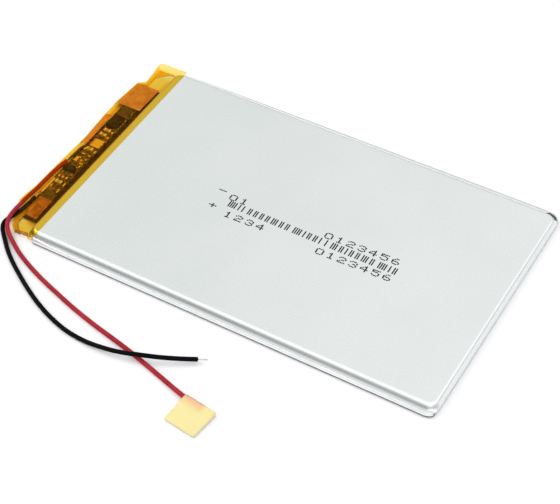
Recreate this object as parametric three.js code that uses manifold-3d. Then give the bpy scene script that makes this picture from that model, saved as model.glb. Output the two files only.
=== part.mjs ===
// Flat lithium pouch cell with a taped protection circuit on its head and two free leads.
// Millimetres. +X runs along the cell to its folded foot, +Y across it, +Z up through its thickness.
// The origin is at the centre of the underside, leads left out.
import * as THREE from "three";
import { mergeVertices } from "three/addons/utils/BufferGeometryUtils.js";
import Module from "manifold-3d";

const wasm = await Module();
wasm.setup();

// ---- Driving dimensions -------------------------------------------------------------------

const LENGTH = 102.4; // tape bulge at the head to the foot
const WIDTH = 60; // over the two folded side seals
const THICKNESS = 2.5;
const CUP_LENGTH = 95; // drawn part of the pouch
const TERRACE_LENGTH = 4.4; // flat seal at the head, under the circuit board
const FILM = 0.11; // aluminium laminated film
const SEAL_GAP = 0.01; // between two films that are sealed together
const TAPE = 0.05; // polyimide tape
const TAPE_LAP = 2.5; // how far the head tape reaches over the cup
const LEAD_DIAMETER = 0.95;

const FOOT_X = LENGTH / 2;
const CUP_HEAD_X = FOOT_X - CUP_LENGTH;
const TERRACE_END_X = CUP_HEAD_X - TERRACE_LENGTH;
const TAPE_EDGE_X = CUP_HEAD_X + TAPE_LAP;

// Pouch
const CUP_HALF_WIDTH = 29.2;
const CUP_CORNER = 1.6; // in plan
const CUP_EDGE = 1.1; // between the top face and the walls
const FLANGE_HEIGHT = 1.8; // side seal, folded up against the cup
const FLANGE_BEND = 0.145;
const FLANGE_HEAD_X = CUP_HEAD_X + 1.9;
const FLANGE_FOOT_X = FOOT_X - 0.8;
const HEAD_CORNER_CUT = 2.5;
const TERRACE_TOP = 2 * FILM + SEAL_GAP;

// Wound electrodes
const ROLL_HEAD_X = CUP_HEAD_X + 1.2;
const ROLL_FOOT_X = FOOT_X - 1.6;
const ROLL_HALF_HEIGHT = 1.1;
const ROLL_CORE = 0.06; // half height of the slot at the centre of the winding
const ROLL_TURN_Y = 27.8; // where the flat runs turn over
const ROLL_TURNS = 4;
const ROLL_PITCH = (ROLL_HALF_HEIGHT - ROLL_CORE) / ROLL_TURNS;
const ROLL_Z = THICKNESS / 2;
const ANODE = 0.11;
const CATHODE = 0.095;
const SEPARATOR = 0.02;
const LAYER_GAP = (ROLL_PITCH - ANODE - CATHODE - 2 * SEPARATOR) / 4;

// Tabs
const TAB = 0.08;
const NEGATIVE_TAB = { y: 18, width: 4 };
const POSITIVE_TAB = { y: -21.3, width: 3 };
const TAB_SEALANT = 0.06;
const TAB_SEALANT_MARGIN = 1;
const TAB_Z = FILM + 0.12;
const TAB_FOLD_Z = 0.6;
const TAB_ROOT_X = -30; // where a tab starts, inside the winding
const TAB_TIP_X = -45.3; // where its folded-back end stops, under the board
const HUMP_TOP = TAB_Z + TAB / 2 + TAB_SEALANT + 0.02 + FILM;

// Protection circuit board
const PAPER = { low: HUMP_TOP + 0.01, high: HUMP_TOP + 0.06 };
const BOARD = { x0: -48.9, x1: -45.2, y0: -18.8, y1: 14.4, z0: 0.54, z1: 1.13 };
const PART_Z = BOARD.z1 + 0.01; // underside of what is soldered on the board
const LEADFRAME = 0.1;
const STRAP = 0.12;

// Flag of folded tape on the end of the red lead
const FLAG = {
  x: 7.78,
  y: -48.72,
  turn: -0.13,
  length: 7.3,
  depth: 6.2, // from the lead to the open edge
  edge: 0.88, // height of the open edge
  leadZ: 0.83,
  leadHole: 0.53,
  roundLead: 0.62,
};

// ---- Lead routes, along the middle of each lead --------------------------------------------

const BLACK_ROUTE = [
  [-48.85, -19.3, 1.15],
  [-49.0, -20.8, 0.92],
  [-49.35, -22.3, 0.68],
  [-49.6, -23.8, 0.6],
  [-50.0, -25.5, 0.58],
  [-50.5, -27.0, 0.52],
  [-50.55, -28.3, 0.5],
  [-49.9, -29.6, 0.5],
  [-48.7, -30.9, 0.5],
  [-47.0, -32.5, 0.5],
  [-44.8, -34.5, 0.5],
  [-42.4, -36.3, 0.5],
  [-39.2, -38.4, 0.5],
  [-35.2, -40.8, 0.5],
  [-31.2, -42.9, 0.5],
  [-26.9, -44.7, 0.5],
  [-22.0, -46.1, 0.5],
  [-17.3, -46.6, 0.55],
  [-13.2, -46.6, 1.0],
  [-8.9, -46.2, 1.6],
  [-5.0, -45.0, 1.8],
  [-1.3, -43.4, 1.55],
  [2.1, -41.6, 1.25],
  [5.2, -39.8, 1.0],
];
const BLACK_TIP_ROUTE = [
  [5.22, -39.79, 1.0],
  [6.9, -38.85, 0.9],
];
const RED_ROUTE = [
  [-49.45, -6.9, 1.15],
  [-49.72, -9.0, 1.2],
  [-49.9, -11.5, 1.2],
  [-49.95, -14.5, 1.22],
  [-50.0, -17.5, 1.25],
  [-50.08, -20.3, 1.45],
  [-50.0, -22.6, 1.62],
  [-49.9, -25.0, 1.78],
  [-49.6, -27.3, 1.78],
  [-48.8, -29.2, 1.42],
  [-47.4, -30.6, 1.0],
  [-45.3, -32.0, 0.65],
  [-42.7, -33.6, 0.5],
  [-39.0, -35.4, 0.5],
  [-34.5, -37.2, 0.5],
  [-29.4, -38.9, 0.5],
  [-23.9, -40.6, 0.5],
  [-18.1, -42.1, 0.5],
  [-12.0, -43.4, 0.5],
  [-7.6, -44.4, 0.5],
  [-2.0, -45.9, 0.5],
  [2.6, -47.2, 0.52],
  [5.6, -48.15, 0.7],
  [7.78, -48.72, 0.83],
  [9.2, -48.91, 0.83],
  [10.6, -49.09, 0.83],
];
const RED_TIP_ROUTE = [
  [10.62, -49.09, 0.83],
  [12.5, -49.34, 0.83],
];

// ---- Materials ------------------------------------------------------------------------------

const material = (color, roughness, metalness) =>
  new THREE.MeshStandardMaterial({ color, roughness, metalness });
const LOOKS = {
  film: () => material(0xdfe4e3, 0.35, 0.8),
  graphite: () => material(0x232427, 0.9, 0),
  oxide: () => material(0x2e2a2b, 0.9, 0),
  separator: () => material(0xf2f2ee, 0.6, 0),
  nickel: () => material(0xb9b4a8, 0.35, 1),
  aluminium: () => material(0xcfd2d4, 0.35, 1),
  sealant: () => material(0xd9d5c4, 0.5, 0),
  paper: () => material(0xe3e0d0, 0.9, 0),
  tape: () => material(0xcfa63a, 0.25, 0),
  doubleTape: () => material(0xd5823c, 0.25, 0),
  board: () => material(0x2c3418, 0.4, 0),
  chip: () => material(0x141312, 0.5, 0),
  passive: () => material(0xa98c5f, 0.5, 0),
  gold: () => material(0xe0ab48, 0.3, 1),
  solder: () => material(0xc9c9c6, 0.3, 1),
  redPlastic: () => material(0xb02a34, 0.45, 0),
  blackPlastic: () => material(0x0c0c0c, 0.45, 0),
  tinned: () => material(0xc4bfb4, 0.35, 1),
  flag: () => material(0xf6e6a2, 0.8, 0),
};

// ---- Solids from rings of points ------------------------------------------------------------

// Closes a list of points and triangles into a solid whose faces point out.
function solid(points, triangles) {
  let volume = 0;
  for (const [a, b, c] of triangles) {
    volume += points[a].dot(new THREE.Vector3().crossVectors(points[b], points[c]));
  }
  const turned = volume < 0 ? triangles.map(([a, b, c]) => [a, c, b]) : triangles;
  const geometry = new THREE.BufferGeometry();
  const numbers = points.flatMap((p) => p.toArray());
  geometry.setAttribute("position", new THREE.Float32BufferAttribute(numbers, 3));
  geometry.setIndex(turned.flat());
  return geometry;
}

// Joins rings of equally many points, one after the other, and closes both ends.
function loft(rings) {
  const count = rings[0].length;
  const triangles = [];
  for (let ring = 0; ring + 1 < rings.length; ring++) {
    for (let i = 0; i < count; i++) {
      const a = ring * count + i;
      const b = ring * count + ((i + 1) % count);
      triangles.push([a, b, b + count], [a, b + count, a + count]);
    }
  }
  const last = (rings.length - 1) * count;
  for (let i = 1; i + 1 < count; i++) {
    triangles.push([0, i + 1, i], [last, last + i, last + i + 1]);
  }
  return solid(rings.flat(), triangles);
}

// The two edges of a strip of the given thickness along a flat path, with mitred corners.
function stripEdges(path, inside, outside) {
  return path.map(([u, v], i) => {
    const [u0, v0] = path[Math.max(i - 1, 0)];
    const [u1, v1] = path[Math.min(i + 1, path.length - 1)];
    const before = new THREE.Vector2(u - u0, v - v0).normalize();
    const after = new THREE.Vector2(u1 - u, v1 - v).normalize();
    const along = before.clone().add(after).normalize();
    const normal = new THREE.Vector2(-along.y, along.x);
    const mitre = 1 / Math.max(along.dot(before.lengthSq() > 0 ? before : after), 0.3);
    return [inside * mitre, outside * mitre].map((d) => [u + normal.x * d, v + normal.y * d]);
  });
}

// A strip bent along a path in the plane of u and v, from w0 to w1 across it.
function bentStrip(path, thickness, w0, w1, place) {
  const edges = stripEdges(path, -thickness / 2, thickness / 2);
  const ring = ([low, high]) => [place(low, w0), place(high, w0), place(high, w1), place(low, w1)];
  return loft(edges.map(ring));
}
const acrossY = ([x, z], y) => new THREE.Vector3(x, y, z);
const acrossX = ([y, z], x) => new THREE.Vector3(x, y, z);

function rod(points, radii, sides = 8) {
  const curve = new THREE.CatmullRomCurve3(points.map((p) => new THREE.Vector3(...p)));
  const frames = curve.computeFrenetFrames(points.length - 1);
  const rings = points.map((p, i) =>
    Array.from({ length: sides }, (_, k) => {
      const angle = (2 * Math.PI * k) / sides;
      return new THREE.Vector3(...p)
        .addScaledVector(frames.normals[i], radii[i] * Math.cos(angle))
        .addScaledVector(frames.binormals[i], radii[i] * Math.sin(angle));
    }),
  );
  return loft(rings);
}

function box(x0, x1, y0, y1, z0, z1, inset = 0) {
  const ring = (z, d) => [
    new THREE.Vector3(x0 + d, y0 + d, z),
    new THREE.Vector3(x1 - d, y0 + d, z),
    new THREE.Vector3(x1 - d, y1 - d, z),
    new THREE.Vector3(x0 + d, y1 - d, z),
  ];
  return loft([ring(z0, 0), ring(z1, inset)]);
}

// A block with rounded corners in plan and, where edge isn't zero, a rounded top edge.
function roundedBlock(x0, x1, halfWidth, z0, z1, corner, edge) {
  const cornerSteps = 4;
  const edgeSteps = edge > 0 ? 5 : 0;
  const ring = (z, inset) => {
    const radius = corner - inset;
    const centres = [
      [x1 - corner, halfWidth - corner],
      [x0 + corner, halfWidth - corner],
      [x0 + corner, corner - halfWidth],
      [x1 - corner, corner - halfWidth],
    ];
    return centres.flatMap(([x, y], quarter) =>
      Array.from({ length: cornerSteps + 1 }, (_, k) => {
        const angle = (Math.PI / 2) * (quarter + k / cornerSteps);
        return new THREE.Vector3(x + radius * Math.cos(angle), y + radius * Math.sin(angle), z);
      }),
    );
  };
  const rings = [ring(z0, 0), ring(z1 - edge, 0)];
  for (let step = 1; step <= edgeSteps; step++) {
    const angle = (Math.PI / 2) * (step / edgeSteps);
    rings.push(ring(z1 - edge + edge * Math.sin(angle), edge - edge * Math.cos(angle)));
  }
  return loft(rings);
}

// A flat plate with an outline of corners.
function plate(outline, z0, z1) {
  return loft([z0, z1].map((z) => outline.map(([x, y]) => new THREE.Vector3(x, y, z))));
}

// ---- Joining and cutting --------------------------------------------------------------------

function toManifold(geometry) {
  const merged = mergeVertices(geometry.clone());
  return new wasm.Manifold(
    new wasm.Mesh({
      numProp: 3,
      vertProperties: new Float32Array(merged.attributes.position.array),
      triVerts: new Uint32Array(merged.index.array),
    }),
  );
}

function fromManifold(manifold) {
  const mesh = manifold.getMesh();
  const geometry = new THREE.BufferGeometry();
  geometry.setAttribute("position", new THREE.BufferAttribute(mesh.vertProperties, 3));
  geometry.setIndex(new THREE.BufferAttribute(mesh.triVerts, 1));
  return geometry;
}

function combine(first, added, cut = []) {
  let manifold = toManifold(first);
  for (const piece of added) manifold = manifold.add(toManifold(piece));
  for (const piece of cut) manifold = manifold.subtract(toManifold(piece));
  return fromManifold(manifold);
}

// ---- Pouch ----------------------------------------------------------------------------------

// The terrace's outline, with its head corners cut off and its other end at endX.
function terraceOutline(endX) {
  return [
    [TERRACE_END_X + HEAD_CORNER_CUT, -CUP_HALF_WIDTH],
    [endX, -CUP_HALF_WIDTH],
    [endX, CUP_HALF_WIDTH],
    [TERRACE_END_X + HEAD_CORNER_CUT, CUP_HALF_WIDTH],
    [TERRACE_END_X, CUP_HALF_WIDTH - HEAD_CORNER_CUT],
    [TERRACE_END_X, HEAD_CORNER_CUT - CUP_HALF_WIDTH],
  ];
}

// Half of a folded side seal's section, from the flat film up; side is 1 or -1.
function flangeSection(side, startY, faceY, lowZ, highZ) {
  return [
    [side * startY, lowZ],
    [side * (faceY - FLANGE_BEND), lowZ],
    [side * faceY, lowZ + FLANGE_BEND],
    [side * faceY, highZ],
  ];
}

function tabHump(tab, grow, z0, z1) {
  const half = tab.width / 2 + TAB_SEALANT_MARGIN + 0.01 + grow;
  return box(TERRACE_END_X, CUP_HEAD_X + FILM - 0.02, tab.y - half, tab.y + half, z0, z1);
}

function tabSlot(tab) {
  const half = tab.width / 2 + TAB_SEALANT_MARGIN + 0.01;
  const top = HUMP_TOP - FILM;
  return box(TERRACE_END_X - 1, CUP_HEAD_X + 2 * FILM, tab.y - half, tab.y + half, 0, top);
}

function pouchFrontShell() {
  const rim = FILM + SEAL_GAP;
  const cup = roundedBlock(CUP_HEAD_X, FOOT_X, CUP_HALF_WIDTH, rim, THICKNESS, CUP_CORNER, CUP_EDGE);
  const hollow = roundedBlock(
    CUP_HEAD_X + FILM,
    FOOT_X - FILM,
    CUP_HALF_WIDTH - FILM,
    rim - 1,
    THICKNESS - FILM,
    CUP_CORNER - FILM,
    CUP_EDGE - FILM,
  );
  const shell = combine(cup, [], [hollow]);
  const faceY = WIDTH / 2 - FILM - SEAL_GAP - FILM / 2;
  const flanges = [-1, 1].map((side) =>
    bentStrip(
      flangeSection(side, CUP_HALF_WIDTH - FILM / 2, faceY, rim + FILM / 2, FLANGE_HEIGHT - 0.05),
      FILM,
      FLANGE_HEAD_X,
      FLANGE_FOOT_X,
      acrossX,
    ),
  );
  const terrace = plate(terraceOutline(CUP_HEAD_X + FILM / 2), rim, TERRACE_TOP);
  const tabs = [NEGATIVE_TAB, POSITIVE_TAB];
  const humps = tabs.map((tab) => tabHump(tab, FILM, rim, HUMP_TOP));
  const sinkZ = THICKNESS - TAPE - 0.005;
  const tapeSink = box(CUP_HEAD_X - 1, TAPE_EDGE_X, -WIDTH, WIDTH, sinkZ, THICKNESS + 1);
  return combine(shell, [...flanges, terrace, ...humps], [...tabs.map(tabSlot), tapeSink]);
}

function pouchBackSheet() {
  const flat = roundedBlock(CUP_HEAD_X - 0.5, FOOT_X, CUP_HALF_WIDTH, 0, FILM, CUP_CORNER, 0);
  const faceY = WIDTH / 2 - FILM / 2;
  const up = flangeSection(1, 0, faceY, FILM / 2, FLANGE_HEIGHT);
  const down = flangeSection(-1, 0, faceY, FILM / 2, FLANGE_HEIGHT).reverse();
  const path = [...down.slice(0, -1), ...up.slice(1)];
  const flanges = bentStrip(path, FILM, FLANGE_HEAD_X, FLANGE_FOOT_X, acrossX);
  const terrace = plate(terraceOutline(CUP_HEAD_X + 2), 0, FILM);
  const tapeSink = box(TERRACE_END_X - 1, TAPE_EDGE_X, -29.75, 29.75, -1, TAPE + 0.005);
  return combine(flat, [flanges, terrace], [tapeSink]);
}

// ---- Wound electrodes -----------------------------------------------------------------------

// Path of a layer of the flattened winding, at an offset out from the innermost surface.
function windingPath(offset, startY, endY) {
  const halfTurns = 2 * ROLL_TURNS - 1;
  const arcSteps = 8;
  const path = [[startY, ROLL_Z - ROLL_CORE - offset]];
  for (let k = 0; k < halfTurns; k++) {
    const side = k % 2 === 0 ? 1 : -1;
    const radius = ROLL_CORE + offset + (k * ROLL_PITCH) / 2;
    const centreZ = ROLL_Z + (side === 1 ? 0 : -ROLL_PITCH / 2);
    for (let step = 0; step <= arcSteps; step++) {
      const angle = side * (-Math.PI / 2 + (Math.PI * step) / arcSteps);
      path.push([side * (ROLL_TURN_Y + radius * Math.cos(angle)), centreZ + radius * Math.sin(angle)]);
    }
  }
  path.push([endY, path.at(-1)[1]]);
  return path;
}

function windingLayer(offset, thickness, overhang, startY, endY) {
  const inner = windingPath(offset, startY, endY);
  const outer = windingPath(offset + thickness, startY, endY);
  const x0 = ROLL_HEAD_X + overhang;
  const x1 = ROLL_FOOT_X - overhang;
  return loft(
    inner.map((point, i) => [
      acrossX(point, x0),
      acrossX(outer[i], x0),
      acrossX(outer[i], x1),
      acrossX(point, x1),
    ]),
  );
}

function windingStopTape() {
  const low = ROLL_Z + ROLL_HALF_HEIGHT + 0.005;
  return box(ROLL_HEAD_X + 2, ROLL_FOOT_X - 2, -27, -19, low, low + 0.03);
}

// ---- Tabs -----------------------------------------------------------------------------------

// From the slot in the middle of the winding, out through the head seal, and folded back.
function tabPath() {
  const fold = (TAB_Z + TAB_FOLD_Z) / 2;
  return [
    [TAB_ROOT_X, ROLL_Z],
    [ROLL_HEAD_X - 0.15, ROLL_Z],
    [ROLL_HEAD_X - 0.5, 0.95],
    [ROLL_HEAD_X - 0.55, 0.5],
    [ROLL_HEAD_X - 0.85, TAB_Z],
    [TERRACE_END_X, TAB_Z],
    [TERRACE_END_X - 0.22, TAB_Z + 0.07],
    [TERRACE_END_X - 0.3, fold],
    [TERRACE_END_X - 0.22, TAB_FOLD_Z - 0.07],
    [TERRACE_END_X, TAB_FOLD_Z],
    [TAB_TIP_X, TAB_FOLD_Z],
  ];
}

function electrodeTab(tab) {
  return bentStrip(tabPath(), TAB, tab.y - tab.width / 2, tab.y + tab.width / 2, acrossY);
}

// The sealant is a sleeve that the tab goes through.
function tabSealant(tab) {
  const half = tab.width / 2 + TAB_SEALANT_MARGIN;
  const high = TAB / 2 + TAB_SEALANT;
  const outside = box(
    TERRACE_END_X + 0.1,
    CUP_HEAD_X + 0.2,
    tab.y - half,
    tab.y + half,
    TAB_Z - high,
    TAB_Z + high,
  );
  const passage = box(
    TERRACE_END_X - 1,
    CUP_HEAD_X + 1,
    tab.y - tab.width / 2 - 0.01,
    tab.y + tab.width / 2 + 0.01,
    TAB_Z - TAB / 2 - 0.005,
    TAB_Z + TAB / 2 + 0.005,
  );
  return combine(outside, [], [passage]);
}

function boardStrap(path, x0, x1) {
  return bentStrip(path, STRAP, x0, x1, acrossX);
}

// ---- Protection circuit ---------------------------------------------------------------------

function insulatingPaper() {
  return box(TERRACE_END_X + 0.1, CUP_HEAD_X - 0.4, -25, 22.5, PAPER.low, PAPER.high);
}

function boardPad(x0, x1, y0, y1) {
  return box(x0, x1, y0, y1, PART_Z, PART_Z + 0.035);
}

// Lead frame of a moulded chip: a plate with fingers out of two sides.
function leadFrame(chip) {
  const z1 = PART_Z + LEADFRAME;
  const halfX = chip.sizeX / 2 - 0.3;
  const halfY = chip.sizeY / 2 - 0.3;
  const base = box(chip.x - halfX, chip.x + halfX, chip.y - halfY, chip.y + halfY, PART_Z, z1);
  const fingers = [];
  for (let pin = 0; pin < chip.pins; pin++) {
    const along = (pin - (chip.pins - 1) / 2) * chip.pitch;
    for (const side of [-1, 1]) {
      const near = side * ((chip.pinsOn === "x" ? halfX : halfY) - 0.2);
      const far = side * ((chip.pinsOn === "x" ? chip.sizeX : chip.sizeY) / 2 + 0.45);
      const [low, high] = [Math.min(near, far), Math.max(near, far)];
      const [a, b] = [along - chip.pinWidth / 2, along + chip.pinWidth / 2];
      const finger =
        chip.pinsOn === "x"
          ? box(chip.x + low, chip.x + high, chip.y + a, chip.y + b, PART_Z, z1)
          : box(chip.x + a, chip.x + b, chip.y + low, chip.y + high, PART_Z, z1);
      fingers.push(finger);
    }
  }
  return combine(base, fingers);
}

function chipBody(chip) {
  const z0 = PART_Z + LEADFRAME + 0.01;
  const halfX = chip.sizeX / 2;
  const halfY = chip.sizeY / 2;
  return box(chip.x - halfX, chip.x + halfX, chip.y - halfY, chip.y + halfY, z0, z0 + chip.height, 0.12);
}

const MOSFET = {
  x: -47.0,
  y: 8.5,
  sizeX: 2.8,
  sizeY: 4.0,
  height: 0.7,
  pinsOn: "x",
  pins: 4,
  pitch: 0.95,
  pinWidth: 0.4,
};
const PROTECTION_CHIP = {
  x: -47.3,
  y: -8.8,
  sizeX: 2.8,
  sizeY: 1.6,
  height: 0.75,
  pinsOn: "y",
  pins: 3,
  pitch: 0.95,
  pinWidth: 0.4,
};

// A chip resistor or capacitor: a body with a slightly larger cap on each end, along X.
function passive(x, y, length, width, height) {
  const cap = length / 4;
  const half = width / 2;
  const z1 = PART_Z + height;
  const shy = 0.03; // the body stands back from its caps
  const body = box(
    x - length / 2 + shy,
    x + length / 2 - shy,
    y - half + shy,
    y + half - shy,
    PART_Z,
    z1 - shy,
  );
  const caps = [-1, 1].map((side) => {
    const ends = [x + (side * length) / 2, x + side * (length / 2 - cap)];
    return box(Math.min(...ends), Math.max(...ends), y - half, y + half, PART_Z, z1);
  });
  return combine(body, caps);
}

// ---- Tape -----------------------------------------------------------------------------------

// Value at y between the pairs of [y, value].
function between(pairs, y) {
  const next = pairs.findIndex(([at]) => at >= y);
  if (next <= 0) return pairs[next === 0 ? 0 : pairs.length - 1][1];
  const [y0, v0] = pairs[next - 1];
  const [y1, v1] = pairs[next];
  return v0 + ((v1 - v0) * (y - y0)) / (y1 - y0);
}

const TAPE_STATIONS = [
  -29.1, -29.0, -28.8, -28.5, -28, -27.4, -26.5, -25, -23, -20.5, -17, -12, -8.8, -4, 1, 6, 10, 11.5, 13.5,
  15.5, 19, 22.6, 24, 26.5, 29.6,
];
const TAPE_OUTER_X = [
  [-29.1, -47.4],
  [-28, -48.6],
  [-26.5, -50.0],
  [-23, -50.72],
  [-20.5, -50.72],
  [-12, -50.55],
  [-4, -50.3],
  [1, -50.3],
  [10, -50.9],
  [15.5, -LENGTH / 2 + TAPE / 2],
  [22.6, -50.7],
  [24, -49.35],
  [29.6, -49.2],
];
// Over the parts on the board
const TAPE_CREST_Z = [
  [-29.1, 1.5],
  [-27.4, 1.45],
  [-25, 1.8],
  [-23, 2.2],
  [-8.8, 2.15],
  [10, 2.12],
  [11.5, 2.0],
  [13.5, 1.5],
  [22.6, 1.2],
  [24, 1.15],
  [26.5, 1.8],
  [29.6, 2.42],
];
// Over the outer edge of the board
const TAPE_SHOULDER_Z = [
  [-29.1, 1.1],
  [-27.4, 0.9],
  [-25, 1.75],
  [-23, 2.2],
  [-20.5, 2.05],
  [-17, 1.55],
  [-8.8, 1.6],
  [-4, 1.55],
  [1, 1.35],
  [10, 1.2],
  [15.5, 0.9],
  [22.6, 0.8],
  [24, 0.5],
  [26.5, 0.95],
  [29.6, 1.6],
];
// In the gap between the cup and the board
const TAPE_VALLEY_Z = [
  [-29.1, 1.8],
  [-23, 1.75],
  [10, 1.7],
  [22.6, 1.5],
  [24, 1.5],
  [26.5, 1.9],
  [29.6, 2.38],
];
const CREST_INNER_X = -45.1;
const CREST_OUTER_X = -47.5;

// Middle of the tape on the cup's top face, which follows the cup's rounded edge down at the near end.
function tapeTopZ(y) {
  const past = Math.max(0, -y - (CUP_HALF_WIDTH - CUP_EDGE));
  const drop = CUP_EDGE - Math.sqrt(CUP_EDGE ** 2 - past ** 2);
  return Math.min(THICKNESS - TAPE / 2, THICKNESS - drop + TAPE);
}

// Section of the head tape at y, from the cup's top round the board to the underside.
function tapeSection(y, inset = 0) {
  const outer = between(TAPE_OUTER_X, y) + TAPE / 2 + inset;
  const crest = between(TAPE_CREST_Z, y) - inset;
  const shoulder = between(TAPE_SHOULDER_Z, y) - inset;
  const valley = between(TAPE_VALLEY_Z, y) - inset;
  const top = tapeTopZ(y);
  const underside = TAPE / 2;
  return [
    [TAPE_EDGE_X - 0.02, top],
    [CUP_HEAD_X + 0.72, top],
    [CUP_HEAD_X + 0.4, top - 0.07],
    [CUP_HEAD_X + 0.06, Math.max(top - 0.4, valley)],
    [CUP_HEAD_X - 0.14, valley],
    [CUP_HEAD_X - 0.55, (valley + crest) / 2],
    [CREST_INNER_X, crest],
    [Math.max(CREST_OUTER_X, outer + 1.4), crest],
    [outer + 0.75, (crest + shoulder) / 2 + 0.1],
    [outer + 0.12, shoulder],
    [outer, shoulder / 2 + 0.1],
    [outer + 0.18, 0.2],
    [outer + 0.8, underside],
    [CREST_INNER_X - 0.4, underside],
    [TAPE_EDGE_X - 0.02, underside],
  ];
}

// A thin sheet whose section changes from station to station along Y.
function drapedSheet(stations, section) {
  const rows = stations.map((y) => {
    const edges = stripEdges(section(y), -TAPE / 2, TAPE / 2);
    return edges.map((pair) => pair.map((p) => acrossY(p, y)));
  });
  const columns = rows[0].length;
  const points = rows.flat(2);
  const at = (row, column, face) => 2 * (row * columns + column) + face;
  const triangles = [];
  const quad = (a, b, c, d) => triangles.push([a, b, c], [a, c, d]);
  for (let row = 0; row + 1 < rows.length; row++) {
    const next = row + 1;
    for (let column = 0; column + 1 < columns; column++) {
      quad(at(row, column, 0), at(row, column + 1, 0), at(next, column + 1, 0), at(next, column, 0));
      quad(at(row, column, 1), at(next, column, 1), at(next, column + 1, 1), at(row, column + 1, 1));
    }
    const end = columns - 1;
    quad(at(row, 0, 0), at(next, 0, 0), at(next, 0, 1), at(row, 0, 1));
    quad(at(row, end, 1), at(next, end, 1), at(next, end, 0), at(row, end, 0));
  }
  for (let column = 0; column + 1 < columns; column++) {
    const last = rows.length - 1;
    quad(at(0, column, 0), at(0, column, 1), at(0, column + 1, 1), at(0, column + 1, 0));
    quad(at(last, column, 0), at(last, column + 1, 0), at(last, column + 1, 1), at(last, column, 1));
  }
  return solid(points, triangles);
}

// The sleeve round the head, the part of it folded down the cup's near side, and the leads' way out.
function headTape() {
  const sleeve = drapedSheet(TAPE_STATIONS, (y) => tapeSection(y));
  const sidePath = [
    [-29.05, 1.98],
    [-29.14, 1.87],
    [-29.3, 1.6],
    [-29.34, 1.2],
    [-29.34, 0.2],
  ];
  const sideFold = bentStrip(sidePath, TAPE, CUP_HEAD_X + 0.2, FLANGE_HEAD_X - 0.1, acrossX);
  const leadExit = box(-53, -48.85, -27.6, -22.4, TAPE + 0.01, 2.6);
  return combine(sleeve, [sideFold], [leadExit]);
}

// A patch under the head tape that follows part of its section.
function tapePatch(y0, y1, firstPoint, lastPoint, inset) {
  const stations = [y0, ...TAPE_STATIONS.filter((y) => y > y0 && y < y1), y1];
  return drapedSheet(stations, (y) => tapeSection(y, inset).slice(firstPoint, lastPoint + 1));
}

// ---- Leads and flag -------------------------------------------------------------------------

function lead(route, diameter, steps) {
  const curve = new THREE.CatmullRomCurve3(route.map((p) => new THREE.Vector3(...p)));
  const section = new THREE.Shape();
  const sides = 8;
  for (let k = 0; k < sides; k++) {
    const angle = (2 * Math.PI * k) / sides;
    const [u, v] = [(diameter / 2) * Math.cos(angle), (diameter / 2) * Math.sin(angle)];
    if (k === 0) section.moveTo(u, v);
    else section.lineTo(u, v);
  }
  const geometry = new THREE.ExtrudeGeometry(section, { steps, extrudePath: curve });
  geometry.deleteAttribute("normal");
  geometry.deleteAttribute("uv");
  return mergeVertices(geometry, 1e-4);
}

// Tape folded over the end of the lead and stuck to itself; its own X runs along the lead.
function foldedFlag() {
  const outline = [
    [-FLAG.depth, 0.03],
    [FLAG.roundLead * 0.6, 0.03],
  ];
  const steps = 8;
  for (let k = 0; k <= steps; k++) {
    const angle = -Math.PI / 6 + ((2 * Math.PI) / 3) * (k / steps);
    outline.push([FLAG.roundLead * Math.cos(angle), FLAG.leadZ + FLAG.roundLead * Math.sin(angle)]);
  }
  outline.push([-1.3, 1.22], [-2.6, 1.0], [-FLAG.depth, FLAG.edge]);
  const pad = loft([0, FLAG.length].map((x) => outline.map((point) => acrossX(point, x))));
  const axis = [-1, FLAG.length + 1].map((x) => [x, 0, FLAG.leadZ]);
  const hole = rod(axis, [FLAG.leadHole, FLAG.leadHole], 16);
  return combine(pad, [], [hole]);
}

// ---- Assembly -------------------------------------------------------------------------------

const cell = new THREE.Group();

function add(name, geometry, look) {
  const mesh = new THREE.Mesh(geometry, LOOKS[look]());
  mesh.name = name;
  cell.add(mesh);
  return mesh;
}

add("pouch_front_shell", pouchFrontShell(), "film");
add("pouch_back_sheet", pouchBackSheet(), "film");

let offset = LAYER_GAP / 2;
const layers = [
  ["anode_strip", ANODE, 0.6, -25, -24, "graphite"],
  ["separator_inner", SEPARATOR, 0, -27.4, -27, "separator"],
  ["cathode_strip", CATHODE, 1, -20, -22, "oxide"],
  ["separator_outer", SEPARATOR, 0, -27.4, -27.4, "separator"],
];
for (const [name, thickness, overhang, startY, endY, look] of layers) {
  add(name, windingLayer(offset, thickness, overhang, startY, endY), look);
  offset += thickness + LAYER_GAP;
}
add("winding_stop_tape", windingStopTape(), "tape");

add("negative_tab", electrodeTab(NEGATIVE_TAB), "nickel");
add("positive_tab", electrodeTab(POSITIVE_TAB), "aluminium");
add("negative_tab_sealant", tabSealant(NEGATIVE_TAB), "sealant");
add("positive_tab_sealant", tabSealant(POSITIVE_TAB), "sealant");

const STRAP_TOP_Z = PART_Z + STRAP / 2;
const STRAP_LOW_Z = TAB_FOLD_Z + TAB / 2 + 0.02 + STRAP / 2;
const farStrap = [
  [11.6, STRAP_TOP_Z],
  [14.6, STRAP_TOP_Z],
  [15.6, STRAP_LOW_Z],
  [20, STRAP_LOW_Z],
];
const nearStrap = [
  [-16, STRAP_TOP_Z],
  [-19, STRAP_TOP_Z],
  [-19.9, STRAP_LOW_Z],
  [-22.8, STRAP_LOW_Z],
];
add("negative_strap", boardStrap(farStrap, -48.2, -45.8), "nickel");
add("positive_strap", boardStrap(nearStrap, -47.7, -45.6), "nickel");

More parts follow.
